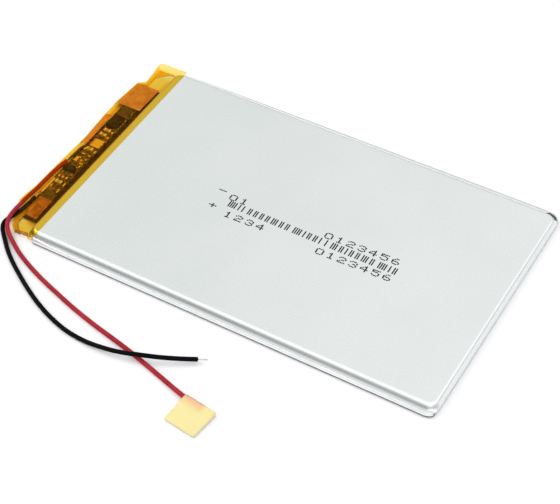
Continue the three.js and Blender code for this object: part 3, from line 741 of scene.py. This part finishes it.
def flag_rows(steps, columns):
    """Rings round the flag's section, one for each step along the lead, with softened edges."""
    rings = []
    for step in range(steps + 1):
        t = step / steps
        end = min(t, 1 - t) * FLAG_LENGTH
        roll = 0.14 * (1 - ease(end, 0.0, 0.28)) ** 2
        upper = [(-FLAG_DEPTH + 0.13 + (FLAG_DEPTH - 0.13) * k / columns) for k in range(columns + 1)]
        ring = [(-FLAG_DEPTH + 0.15, 0.035), (-FLAG_DEPTH + 0.03 + roll, 0.12)]
        ring += [(-FLAG_DEPTH + 0.02 + roll, 0.4), (-FLAG_DEPTH + 0.05 + roll, 0.44)]
        ring += [(-FLAG_DEPTH + 0.0 + roll, 0.5), (-FLAG_DEPTH + 0.02 + roll, 0.72)]
        for y in upper:
            wave = 0.025 * ripple(t * FLAG_LENGTH, y, 1.6, 5.0)
            lead_end = 0.12 * ease(t * FLAG_LENGTH, 4.6, 6.0) * ease(y, -1.5, 0.0)
            ring.append((y, flag_top(y) - roll + wave - lead_end))
        for k in range(1, 9):
            angle = math.pi / 2 - math.radians(125) * k / 8
            ring.append(((0.62 - roll * 0.5) * math.cos(angle), 0.83 + (0.62 - roll) * math.sin(angle)))
        ring += [(0.34, 0.05), (-2.0, 0.035), (-4.0, 0.035)]
        rings.append([(flag_length(y) * t + 0.02 * ripple(y, z, 0.7, t), y, max(z, 0.03)) for y, z in ring])
    return rings


def make_flag():
    """Tape folded over the end of the red lead and stuck to itself."""
    turn = Quaternion((0, 0, 1), FLAG_TURN)
    rings = flag_rows(36, 26)
    points = [FLAG_ORIGIN + turn @ Vector(p) for ring in rings for p in ring]
    faces = rod_faces(0, len(rings), len(rings[0]))
    piece = add_piece("lead_flag", mesh_from("lead_flag", points, faces), FLAG_LOOK)
    soften(piece, 0.05)
    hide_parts("red_lead_flag")
    return piece


black_lead, black_length = make_lead("black_wire", BLACK_ROUTE, BLACK_LEAD_LOOK)
black_strands = make_strands("black_wire_strands", BLACK_TIP, 5, 0.085, 0.07)
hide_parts("black_lead")
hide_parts("black_lead_tip")

red_lead, red_length = make_lead("red_wire", RED_ROUTE, RED_LEAD_LOOK)
red_strands = make_strands("red_wire_strands", RED_TIP, 5, 0.085, 0.07)
lead_flag = make_flag()
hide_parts("red_lead")
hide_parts("red_lead_tip")

# ---- Pouch -------------------------------------

EDGE_START = 1.2  # how far in from the wall the top face begins to roll over
EDGE_STEPS = 7
EDGE_ANGLE = math.radians(60)
WALL_PROFILE = (
    (0.3, 1.85),
    (0.14, 1.6),
    (-0.03, 1.36),
    (-0.22, 1.17),
    (-0.42, 1.07),
    (-0.44, 0.85),
    (-0.3, 0.4),
    (0.0, FILM + SEAL_GAP),
)


def edge_profile():
    """Pairs of (distance in from the wall, height) from the flat top, over the edge, down to the rim."""
    pairs = [(CUP_CORNER, TOP_Z), (EDGE_START, TOP_Z)]
    for k in range(1, EDGE_STEPS + 1):
        angle = EDGE_ANGLE * k / EDGE_STEPS
        pairs.append((EDGE_START - CUP_ROLL * math.sin(angle), TOP_Z - CUP_ROLL * (1 - math.cos(angle))))
    return [*pairs, *WALL_PROFILE]


def top_height(x, y):
    """How far the top face stands off its plane: soft waves, and the sunk band under the tape."""
    waves = 0.018 * ripple(x, y, 24, 1.0) + 0.01 * ripple(x, y, 9, 2.0)
    sunk = (TAPE + 0.006) * (1 - ease(x, TAPE_EDGE_X - 0.02, TAPE_EDGE_X + 0.12))
    return min(waves, 0.0) * 1.6 - sunk - INK_ROOM


def stations(low, high, step):
    """Evenly spaced numbers from low to high, about step apart."""
    count = max(2, round((high - low) / step))
    return [low + (high - low) * k / count for k in range(count + 1)]


def evenly_across(half, count):
    """count evenly spaced numbers from -half to half."""
    return [-half + 2 * half * k / (count - 1) for k in range(count)]


def edge_direction(ex, ey):
    """Unit steps along X and Y, away from the cup's middle, for a point ex, ey steps out over the edge."""
    if not (ex and ey):
        return (1.0 if ex else 0.0), (1.0 if ey else 0.0)
    if abs(ey) >= abs(ex):
        angle = math.pi / 4 * (abs(ex) / abs(ey))
        return math.sin(angle), math.cos(angle)
    angle = math.pi / 4 * (abs(ey) / abs(ex))
    return math.cos(angle), math.sin(angle)


def make_cup():
    """The drawn cup: a flat top whose edges and corners roll over into upright walls."""
    profile = edge_profile()
    x_low = CUP_HEAD_X + CUP_CORNER
    x_high = FOOT_X - CUP_CORNER
    y_flat = CUP_HALF_WIDTH - CUP_CORNER
    outward = list(range(1, len(profile)))
    xs = [(x_low, -k) for k in reversed(outward)]
    xs += [(x, 0) for x in stations(x_low, TAPE_EDGE_X - 0.05, 0.5)]
    xs += [(x, 0) for x in stations(TAPE_EDGE_X + 0.02, TAPE_EDGE_X + 0.2, 0.06)]
    xs += [(x, 0) for x in stations(TAPE_EDGE_X + 1.0, x_high, 1.1)]
    xs += [(x_high, k) for k in outward]
    ys = [(-y_flat, -k) for k in reversed(outward)]
    ys += [(y, 0) for y in stations(-y_flat, y_flat, 1.1)]
    ys += [(y_flat, k) for k in outward]
    rows = []
    for x, ex in xs:
        row = []
        for y, ey in ys:
            reach = max(abs(ex), abs(ey))
            inset, z = profile[reach]
            radius = CUP_CORNER - inset
            dx, dy = edge_direction(ex, ey)
            px = x + math.copysign(radius * dx, ex) if ex else x
            py = y + math.copysign(radius * dy, ey) if ey else y
            px = min(max(px, CUP_HEAD_X), FOOT_X)
            settle = ease(z, 0.9, TOP_Z)
            row.append((px, py, z + top_height(px, py) * settle))
        rows.append(row)
    piece = add_sheet("pouch_cup", rows, FILM_LOOK, FILM, -1.0, flip=True)
    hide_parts("pouch_front_shell")


TAB_HUMPS = ((18.0, 3.1), (-21.3, 2.6))  # middle and half width of the margin's rise over each tab
TERRACE_CHAMFER = 2.5


def terrace_top(x, y):
    """Height of the sealed head margin, which rises over each tab's sealant."""
    hump = 0.0
    for middle, half in TAB_HUMPS:
        hump = max(hump, 1 - ease(abs(y - middle), half, half + 0.5))
    edge = 1 - ease(-x, -TERRACE_END_X - 0.15, -TERRACE_END_X)
    return FILM + SEAL_GAP + FILM / 2 + 0.225 * hump * (0.75 + 0.25 * edge) + 0.012 * ripple(x, y, 2.5, 7.0)


def terrace_half(x):
    """Half the width of the sealed head margin, whose two corners are cut off."""
    return CUP_HALF_WIDTH - max(0.0, TERRACE_END_X + TERRACE_CHAMFER - x)


def make_terrace():
    """The front film's part of the head seal."""
    rows = []
    for x in stations(TERRACE_END_X + 0.02, CUP_HEAD_X + FILM, 0.22):
        rows.append([(x, y, terrace_top(x, y)) for y in evenly_across(terrace_half(x), 120)])
    add_sheet("head_seal", rows, TERRACE_LOOK, FILM)


SEAL_HEAD_X = CUP_HEAD_X + 1.9
SEAL_FOOT_X = FOOT_X - 0.35
NEAR_SEAL_HEIGHTS = ((-42, 1.7), (-37, 1.5), (-25, 1.38), (0, 1.35), (30, 1.38), (46, 1.42), (51.2, 1.38))
FAR_SEAL_HEIGHTS = ((-42, 1.55), (-30, 1.7), (0, 1.85), (30, 1.95), (46, 2.0), (51.2, 1.9))
SEAL_CORNER = 2.2
PLAIN_HALF_WIDTH = 27.5  # the back sheet isn't sealed within this


def seal_height(x, side):
    heights = NEAR_SEAL_HEIGHTS if side < 0 else FAR_SEAL_HEIGHTS
    return between(heights, x) + 0.04 * ripple(x, side * 40, 7, 3.0)


def seal_lean(x, side):
    """Lean of the top of a folded side seal; it is negative, in towards the cup."""
    head = 0.2 * (1 - ease(x, SEAL_HEAD_X, SEAL_HEAD_X + 7))
    far = 0.2 if side > 0 else 0.0
    return -head - far - 0.12 - 0.03 * ripple(x, side * 10, 8, 4.0)


def seal_face(x):
    """Outer face of a folded side seal, which turns in round the corner at the foot."""
    past = max(0.0, x - (FOOT_X - SEAL_CORNER))
    return HALF_WIDTH - 0.005 - 0.75 * (SEAL_CORNER - math.sqrt(max(0.0, SEAL_CORNER**2 - past**2)))


def seal_section(x, side, inner):
    """Points (y, z) of one film of a folded side seal: out from under the cup, round, and up."""
    offset = (FILM + SEAL_GAP) if inner else 0.0
    height = seal_height(x, side) - (0.05 if inner else 0.0)
    lift = 0.2 + 0.04 * ripple(x, side * 20, 9, 8.0)
    face = seal_face(x) - FILM / 2 - offset
    low = FILM / 2 + 0.004 + offset
    points = [
        (face - 1.0, low),
        (face - 0.6, low + 0.03),
        (face - 0.36, low + lift * 0.4),
        (face - 0.15, low + lift * 0.8),
        (face - 0.04, low + lift),
        (face, low + lift + 0.16),
    ]
    foot = low + lift + 0.16
    lean = seal_lean(x, side) - (0.04 if inner else 0.0)
    for k in range(1, 5):
        t = k / 4
        points.append((face + lean * t * t, foot + (height - foot) * t))
    if side > 0:
        curl = 1 - ease(x, FOOT_X - 3.5, FOOT_X - 2.2)
        y, z = points[-1]
        points.append((y - 0.25 * curl, z + 0.1 * curl + 0.01))
        points.append((y - 0.85 * curl, z + 0.14 * curl + 0.02))
    return [(side * y, z) for y, z in points]


def make_inner_seal(name, side):
    """The front film's side of a folded seal, just inside the back sheet's."""
    rows = []
    for x in stations(SEAL_HEAD_X + 0.05, SEAL_FOOT_X, 0.5):
        rows.append([(x, y, z) for y, z in seal_section(x, side, True)])
    add_sheet(name, rows, SEAL_LOOK, FILM, flip=side < 0)


def make_back_sheet():
    """The back film: flat under the cell, and folded up along both sides."""
    rows = []
    for x in stations(SEAL_HEAD_X, SEAL_FOOT_X, 0.5):
        sunk = (TAPE + 0.005) * (1 - ease(x, TAPE_EDGE_X - 0.02, TAPE_EDGE_X + 0.1))
        left = [(x, y, z) for y, z in reversed(seal_section(x, -1, False))]
        right = [(x, y, z) for y, z in seal_section(x, 1, False)]
        flat = [(x, y, FILM / 2 + sunk) for y in evenly_across(right[0][1] - 0.2, 41)]
        rows.append(left + flat + right)
    piece = add_sheet("pouch_back", rows, SEAL_LOOK, FILM)
    piece.data.materials.append(FILM_LOOK)
    for polygon in piece.data.polygons:
        if abs(polygon.center.y) < PLAIN_HALF_WIDTH * MM:
            polygon.material_index = 1
    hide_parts("pouch_back_sheet")


def make_back_terrace():
    """The back film's part of the head seal, on the tape's underside."""
    rows = []
    level = TAPE + 0.006 + FILM / 2
    for x in stations(TERRACE_END_X, SEAL_HEAD_X + 0.02, 0.4):
        rows.append([(x, y, level) for y in evenly_across(terrace_half(x), 61)])
    add_sheet("back_terrace", rows, TERRACE_LOOK, FILM - TAPE)


make_cup()
make_terrace()
make_inner_seal("side_seal_near", -1)
make_inner_seal("side_seal_far", 1)
make_back_sheet()
make_back_terrace()

# ---- Head tape ---------------------------------

TAPE_OUTER_X = (
    (-29.1, -47.4),
    (-28, -48.6),
    (-26.5, -50.0),
    (-23, -50.72),
    (-20.5, -50.72),
    (-12, -50.55),
    (-4, -50.3),
    (1, -50.3),
    (10, -50.9),
    (15.5, tape_low.x + TAPE / 2),
    (22.6, -50.7),
    (24, -49.35),
    (29.6, -49.2),
)
TAPE_CREST_Z = (
    (-29.1, 1.5),
    (-27.4, 1.45),
    (-25, 1.8),
    (-23, 2.2),
    (-8.8, 2.15),
    (10, 2.12),
    (11.5, 2.0),
    (13.5, 1.5),
    (22.6, 1.2),
    (24, 1.15),
    (26.5, 1.8),
    (29.6, 2.42),
)
TAPE_SHOULDER_Z = (
    (-29.1, 1.1),
    (-27.4, 0.9),
    (-25, 1.75),
    (-23, 2.2),
    (-20.5, 2.05),
    (-17, 1.55),
    (-8.8, 1.6),
    (-4, 1.55),
    (1, 1.35),
    (10, 1.2),
    (15.5, 0.9),
    (22.6, 0.8),
    (24, 0.5),
    (26.5, 0.95),
    (29.6, 1.6),
)
TAPE_VALLEY_Z = (
    (-29.1, 1.8),
    (-23, 1.75),
    (10, 1.7),
    (22.6, 1.5),
    (24, 1.5),
    (26.5, 1.9),
    (29.6, 2.38),
)


TAPE_ROLL = 1.1


def tape_top(y):
    """Middle of the tape on the cup's top face, which follows its rounded edge down at the near end."""
    past = max(0.0, -y - (CUP_HALF_WIDTH - TAPE_ROLL))
    drop = TAPE_ROLL - math.sqrt(TAPE_ROLL**2 - past**2)
    return min(TOP_Z - TAPE / 2, TOP_Z - drop + TAPE)


def tape_section(y, inset=0.0):
    """Points (x, z) of the head tape's section at y, from the cup's top round the board to the underside."""
    outer = between(TAPE_OUTER_X, y) + TAPE / 2 + inset
    crest = between(TAPE_CREST_Z, y) - inset
    shoulder = between(TAPE_SHOULDER_Z, y) - inset
    valley = between(TAPE_VALLEY_Z, y) - inset
    top = tape_top(y)
    underside = TAPE / 2
    return [
        (TAPE_EDGE_X - 0.02, top),
        (CUP_HEAD_X + 0.72, top),
        (CUP_HEAD_X + 0.4, top - 0.07),
        (CUP_HEAD_X + 0.06, max(top - 0.4, valley)),
        (CUP_HEAD_X - 0.14, valley),
        (CUP_HEAD_X - 0.55, (valley + crest) / 2),
        (-45.1, crest),
        (max(-47.5, outer + 1.4), crest),
        (outer + 0.75, (crest + shoulder) / 2 + 0.1),
        (outer + 0.12, shoulder),
        (outer, shoulder / 2 + 0.1),
        (outer + 0.18, 0.2),
        (outer + 0.8, underside),
        (-45.5, underside),
        (TAPE_EDGE_X - 0.02, underside),
    ]


def tape_rows(y_values, first, last, inset, columns, wrinkle, share=0.0):
    """Rows along the section from its point first, or a share of the way on from it, to its point last."""
    rows = []
    for y in y_values:
        section = tape_section(y, inset)[first : last + 1]
        (x0, z0), (x1, z1) = section[:2]
        section[0] = (x0 + (x1 - x0) * share, z0 + (z1 - z0) * share)
        path = even_path([(x, z, 0.0) for x, z in section], columns)
        row = []
        for k, p in enumerate(path):
            before = path[max(k - 1, 0)]
            after = path[min(k + 1, columns - 1)]
            along = (after - before).normalized()
            loose = ease(CUP_HEAD_X - p.x, 0.3, 1.5) * ease(p.y, 0.12, 0.5)
            height = wrinkle * loose * tape_wrinkle(p.x, y, k)
            z = min(max(p.y + along.x * height, TAPE / 2 + 0.004), TOP_Z - TAPE / 2 - 0.004)
            row.append((p.x - along.y * height, y, z))
        rows.append(row)
    return rows


def tape_wrinkle(x, y, k):
    """Creases across the tape, denser at its two ends, and a soft unevenness."""
    soft = ripple(x * 0.6, y, 2.2, 11.0)
    crease = 1 - 2 * abs(ripple(x * 0.8 + y * 0.4, y * 0.5 - x, 1.5, 12.0))
    ends = 0.35 + 0.65 * max(ease(y, 21, 25), 1 - ease(y, -26, -21))
    return 0.7 * soft + 0.5 * crease * ends


def cut_lead_exit(piece):
    """Takes away the faces where the leads come out at the near end of the tape."""
    mesh = bmesh.new()
    mesh.from_mesh(piece.data)
    gone = []
    for face in mesh.faces:
        x, y, z = face.calc_center_median() / MM
        edge = -48.85 - 0.35 * max(0.0, (y + 24.0) / 1.6)
        if x < edge and -27.6 < y < -22.4 and z > TAPE + 0.02:
            gone.append(face)
    bmesh.ops.delete(mesh, geom=gone, context="FACES")
    mesh.to_mesh(piece.data)
    mesh.free()


def make_head_tape():
    """The clear tape round the head, with the board inside."""
    rows = tape_rows(stations(-29.1, 29.6, 0.3), 0, 14, 0.0, 110, 0.07)
    piece = add_sheet("head_wrap", rows, AMBER_LOOK, TAPE)
    cut_lead_exit(piece)
    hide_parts("head_tape")


SIDE_FOLD_PATH = ((-29.09, 1.93), (-29.16, 1.84), (-29.3, 1.6), (-29.34, 1.2), (-29.34, 0.2))
END_FOLD_LIP = ((-47.25, 1.0), (-46.84, 1.2), (-45.2, 1.5), (-43.9, 1.72))


def make_tape_side_fold():
    """The end of the head tape folded down the near side of the cup."""
    path = even_path([(y, z, 0.0) for y, z in SIDE_FOLD_PATH], 14)
    rows = []
    for x in stations(CUP_HEAD_X + 0.2, CUP_HEAD_X + 1.8, 0.2):
        rows.append([(x, p.x + 0.015 * ripple(x, p.y, 0.8, 6.0), p.y) for p in path])
    add_sheet("head_wrap_side", rows, AMBER_LOOK, TAPE)


def make_tape_end_fold():
    """The near end of the sleeve, crumpled inwards between its upper lip and its underside."""
    rows = []
    for x in stations(-47.2, -43.7, 0.18):
        top = between(END_FOLD_LIP, x)
        row = []
        for k in range(9):
            t = k / 8
            hollow = 0.28 * math.sin(math.pi * t) + 0.05 * ripple(x, t * 2, 0.7, 9.0)
            row.append((x, -29.12 + hollow, top + (0.06 - top) * t))
        rows.append(row)
    add_sheet("head_wrap_end", rows, SHADED_FOLD_LOOK, TAPE)


def make_tape_patch(name, node, y0, y1, first, last, look, share=0.0):
    """An extra piece of tape just inside the head tape, over part of its section."""
    rows = tape_rows(stations(y0, y1, 0.3), first, last, 0.09, 40, 0.03, share)
    piece = add_sheet(name, rows, look, TAPE * 0.8)
    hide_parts(node)


make_head_tape()
make_tape_side_fold()
make_tape_end_fold()
make_tape_patch("far_patch", "far_tape_patch", 14.2, 22.4, 5, 10, ORANGE_LOOK)
make_tape_patch("near_patch", "near_tape_patch", -25, -19.2, 5, 7, BROWN_TAPE_LOOK)
make_tape_patch("edge_patch", "edge_tape_patch", -0.6, 9.6, 7, 10, ORANGE_LOOK, 0.45)

# ---- Print on the top face ---------------------

DIGITS = {
    "0": ("01110", "10001", "10001", "10001", "10001", "10001", "01110"),
    "1": ("00100", "01100", "00100", "00100", "00100", "00100", "01110"),
    "2": ("01110", "10001", "00001", "00110", "01000", "10000", "11111"),
    "3": ("01110", "10001", "00001", "00110", "00001", "10001", "01110"),
    "4": ("00010", "00110", "01010", "10010", "11111", "00010", "00010"),
    "5": ("11111", "10000", "11110", "00001", "00001", "10001", "01110"),
    "6": ("00110", "01000", "10000", "11110", "10001", "10001", "01110"),
    "-": ("00000", "00000", "00000", "11111", "00000", "00000", "00000"),
    "+": ("00000", "00100", "00100", "11111", "00100", "00100", "00000"),
}
BAR_GROUPS = (4, 1, 1, 0, 2, 2, 2, 2, 3, 2, 2, 0, 4, 1, 2, 2, 1, 0, 1, 0, 3, 2, 1, 2, 2, 3, 2, 0, 4, 1, 2)
PRINT_ORIGIN = Vector((-10.2, -2.1))
PRINT_TURN = math.radians(1.6)
CHARACTER_PITCH = 2.55
DOT_PITCH = (0.36, 0.24)
BAR_ROW_RISE = 1.2
BAR_ROW_FALL = 0.03
BAR_LENGTH = 1.55
BAR_PITCH = 0.49
BAR_GROUP_GAP = 0.45


class Print:
    """Collects ink dots on the top face in the print's own turned frame."""

    def __init__(self):
        self.points = []
        self.faces = []

    def dot(self, u, v, width, height):
        """A thin raised oval of ink."""
        sides = 8
        cos, sin = math.cos(PRINT_TURN), math.sin(PRINT_TURN)
        first = len(self.points)
        for level in (-0.002, 0.006):
            for k in range(sides):
                angle = 2 * math.pi * (k + 0.5) / sides
                pu = u + width / 2 * math.cos(angle)
                pv = v + height / 2 * math.sin(angle)
                x = PRINT_ORIGIN.x + cos * pu - sin * pv
                y = PRINT_ORIGIN.y + sin * pu + cos * pv
                self.points.append((x, y, TOP_Z + top_height(x, y) + level))
        self.faces += rod_faces(first, 2, sides)

    def text(self, characters, u, v, jitter):
        for index, character in enumerate(characters):
            for row, line in enumerate(DIGITS[character]):
                for column, on in enumerate(line):
                    if on == "1":
                        du = u + index * CHARACTER_PITCH + column * DOT_PITCH[0] + jitter.uniform(-0.03, 0.03)
                        dv = v - row * DOT_PITCH[1] + jitter.uniform(-0.02, 0.02)
                        self.dot(du, dv, 0.37, 0.35)

    def bar(self, u, v, jitter):
        count = 7
        for k in range(count):
            self.dot(u + jitter.uniform(-0.02, 0.02), v - BAR_LENGTH * k / (count - 1), 0.35, 0.34)


def make_print():
    """Generic marks: two polarity signs, rows of digits and a row of bars that codes nothing."""
    jitter = random.Random(4)
    ink = Print()
    ink.text("-", -4.5, 3.9, jitter)
    ink.text("+", -4.3, -0.9, jitter)
    ink.text("01", -1.4, 3.0, jitter)
    ink.text("1234", 0.0, -1.85, jitter)
    ink.text("0123456", 21.6, 2.5, jitter)
    ink.text("0123456", 21.9, -2.25, jitter)
    u = -0.6
    for group in BAR_GROUPS:
        for _ in range(group):
            ink.bar(u, BAR_ROW_RISE - BAR_ROW_FALL * u, jitter)
            u += BAR_PITCH
        u += BAR_GROUP_GAP
    add_piece("printed_marks", mesh_from("printed_marks", ink.points, ink.faces), INK_LOOK)


make_print()

# ---- Board and small parts ---------------------

# Middle, width and height of each pad, then the middles of the vias.
BOARD_PADS = (
    (-48.1, 6.2, 0.5, 0.6),
    (-48.2, 4.5, 0.45, 0.5),
    (-45.8, 5.4, 0.5, 0.6),
    (-45.8, 3.6, 0.45, 0.6),
    (-48.3, 2.9, 0.5, 0.4),
    (-48.2, -1.6, 0.45, 0.8),
    (-45.6, -1.6, 0.4, 0.8),
    (-47.6, -3.1, 0.8, 0.35),
    (-46.0, -3.2, 0.5, 0.35),
    (-46.2, -6.1, 0.9, 0.3),
    (-46.0, -7.0, 0.3, 0.8),
    (-48.25, -11.3, 0.42, 0.6),
    (-47.3, -11.3, 0.42, 0.6),
    (-46.35, -11.3, 0.42, 0.6),
    (-48.0, -14.6, 0.3, 0.9),
    (-45.6, -13.2, 0.35, 0.9),
    (-45.7, -15.4, 0.3, 1.2),
)
BOARD_VIAS = ((-47.6, -4.4), (-46.0, -4.5), (-46.8, -5.2), (-47.9, -12.4), (-46.0, -9.9), (-45.7, 1.2))


def make_board_copper():
    """Bare gold pads and via rings on the board, between its soldered parts."""
    points = []
    faces = []
    low = board_high.z + 0.002
    high = board_high.z + 0.03
    for x, y, width, height in BOARD_PADS:
        first = len(points)
        for z, inset in ((low, 0.0), (high, 0.02)):
            a, b = width / 2 - inset, height / 2 - inset
            points += [(x - a, y - b, z), (x + a, y - b, z), (x + a, y + b, z), (x - a, y + b, z)]
        faces += rod_faces(first, 2, 4)
    sides = 14
    rings = ((0.26, low), (0.24, high), (0.13, high), (0.11, low))
    for x, y in BOARD_VIAS:
        first = len(points)
        for radius, z in rings:
            for k in range(sides):
                angle = 2 * math.pi * k / sides
                points.append((x + radius * math.cos(angle), y + radius * math.sin(angle), z))
        faces += loop_faces(first, len(rings), sides, ring=True)
    piece = add_piece("board_copper", mesh_from("board_copper", points, faces), GOLD_LOOK)
    for polygon in piece.data.polygons:
        polygon.use_smooth = False


# The CAD nodes that stay as they are: their look, the width their edges are softened by, and their names.
CAD_LOOKS = (
    (BOARD_LOOK, 0.04, ("protection_board",)),
    (MOULDING_LOOK, 0.07, ("mosfet", "protection_chip")),
    (GOLD_LOOK, 0.02, ("mosfet_lead_frame",)),
    (SOLDER_LOOK, 0.02, ("protection_chip_lead_frame",)),
    (PASSIVE_LOOK, 0.03, ("filter_resistor", "supply_capacitor", "output_capacitor", "sense_resistor")),
    (GOLD_LOOK, 0.01, ("test_pad", "edge_pad", "positive_lead_pad")),
    (STRAP_PAINTED_SHADE_LOOK, 0.02, ("negative_strap", "positive_strap")),
    (NICKEL_LOOK, 0.01, ("negative_tab",)),
    (ALUMINIUM_LOOK, 0.01, ("positive_tab",)),
    (SEALANT_LOOK, 0.01, ("negative_tab_sealant", "positive_tab_sealant")),
    (PAPER_PAINTED_SHADE_LOOK, 0.01, ("insulating_paper",)),
    (GRAPHITE_LOOK, 0.0, ("anode_strip",)),
    (OXIDE_LOOK, 0.0, ("cathode_strip",)),
    (SEPARATOR_LOOK, 0.0, ("separator_inner", "separator_outer")),
    (AMBER_LOOK, 0.0, ("winding_stop_tape",)),
    # The red lead's solder joint takes the straps' dark look: dull solder, darkened further with painted
    # shade under the tape's bulge.
    (STRAP_PAINTED_SHADE_LOOK, 0.0, ("red_solder_joint",)),
    (SOLDER_LOOK, 0.0, ("black_solder_joint",)),
)


def dress_cad_nodes():
    for look, edge, names in CAD_LOOKS:
        for name in names:
            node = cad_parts[name]
            node.data.materials.clear()
            node.data.materials.append(look)
            if edge:
                soften(node, edge)


make_board_copper()
dress_cad_nodes()

# ---- Floor and light ---------------------------


def make_floor():
    half = 3.0
    data = bpy.data.meshes.new("floor")
    corners = [(-half, -half, 0), (half, -half, 0), (half, half, 0), (-half, half, 0)]
    data.from_pydata(corners, [], [(0, 1, 2, 3)])
    floor = bpy.data.objects.new("floor", data)
    bpy.context.scene.collection.objects.link(floor)
    floor.location.z = -0.02 * MM
    s = Shading("floor")
    s.set(Roughness=0.9, Specular_IOR_Level=0.2)
    s.shader.inputs["Base Color"].default_value = (0.88, 0.88, 0.90, 1.0)
    data.materials.append(s.material)


def make_world():
    """A white room: grey towards its skirting, bright overhead and dimmer on the wall opposite."""
    world = bpy.data.worlds.new("studio")
    bpy.context.scene.world = world
    world.use_nodes = True
    nodes = world.node_tree.nodes
    links = world.node_tree.links
    coordinates = nodes.new("ShaderNodeTexCoord")

    def shade(axis, stops):
        """Grey levels between (position, level) stops of a direction's part along an axis."""
        facing = nodes.new("ShaderNodeVectorMath")
        facing.operation = "DOT_PRODUCT"
        facing.inputs[1].default_value = axis
        ramp = nodes.new("ShaderNodeValToRGB")
        ramp.color_ramp.interpolation = "EASE"
        for element, (position, level) in zip(ramp.color_ramp.elements, stops):
            element.position = position
            element.color = (level, level, level, 1.0)
        links.new(coordinates.outputs["Generated"], facing.inputs[0])
        links.new(facing.outputs["Value"], ramp.inputs["Fac"])
        return ramp.outputs["Color"]

    height = shade((0, 0, 1), ((0.1, 0.4), (0.6, 1.0)))
    opposite = shade((-0.35, 0.58, 0.735), ((0.6, 1.0), (0.95, 0.70)))
    product = nodes.new("ShaderNodeMix")
    product.data_type = "RGBA"
    product.blend_type = "MULTIPLY"
    product.inputs["Factor"].default_value = 1.0
    links.new(height, product.inputs["A"])
    links.new(opposite, product.inputs["B"])
    links.new(product.outputs["Result"], nodes["Background"].inputs["Color"])
    nodes["Background"].inputs["Strength"].default_value = 1.36


def add_softbox(name, location, size, power):
    data = bpy.data.lights.new(name, "AREA")
    data.shape = "RECTANGLE"
    data.size, data.size_y = size
    data.energy = power
    light = bpy.data.objects.new(name, data)
    bpy.context.scene.collection.objects.link(light)
    light.location = location
    light.rotation_mode = "QUATERNION"
    light.rotation_quaternion = (-Vector(location)).to_track_quat("-Z", "Y")


make_floor()
make_world()
add_softbox("key", (-0.9, -0.1, 0.9), (0.5, 0.5), 3.0)
add_softbox("fill", (0.7, -0.9, 0.5), (0.7, 0.5), 1.2)
bpy.context.scene.view_settings.view_transform = "Standard"
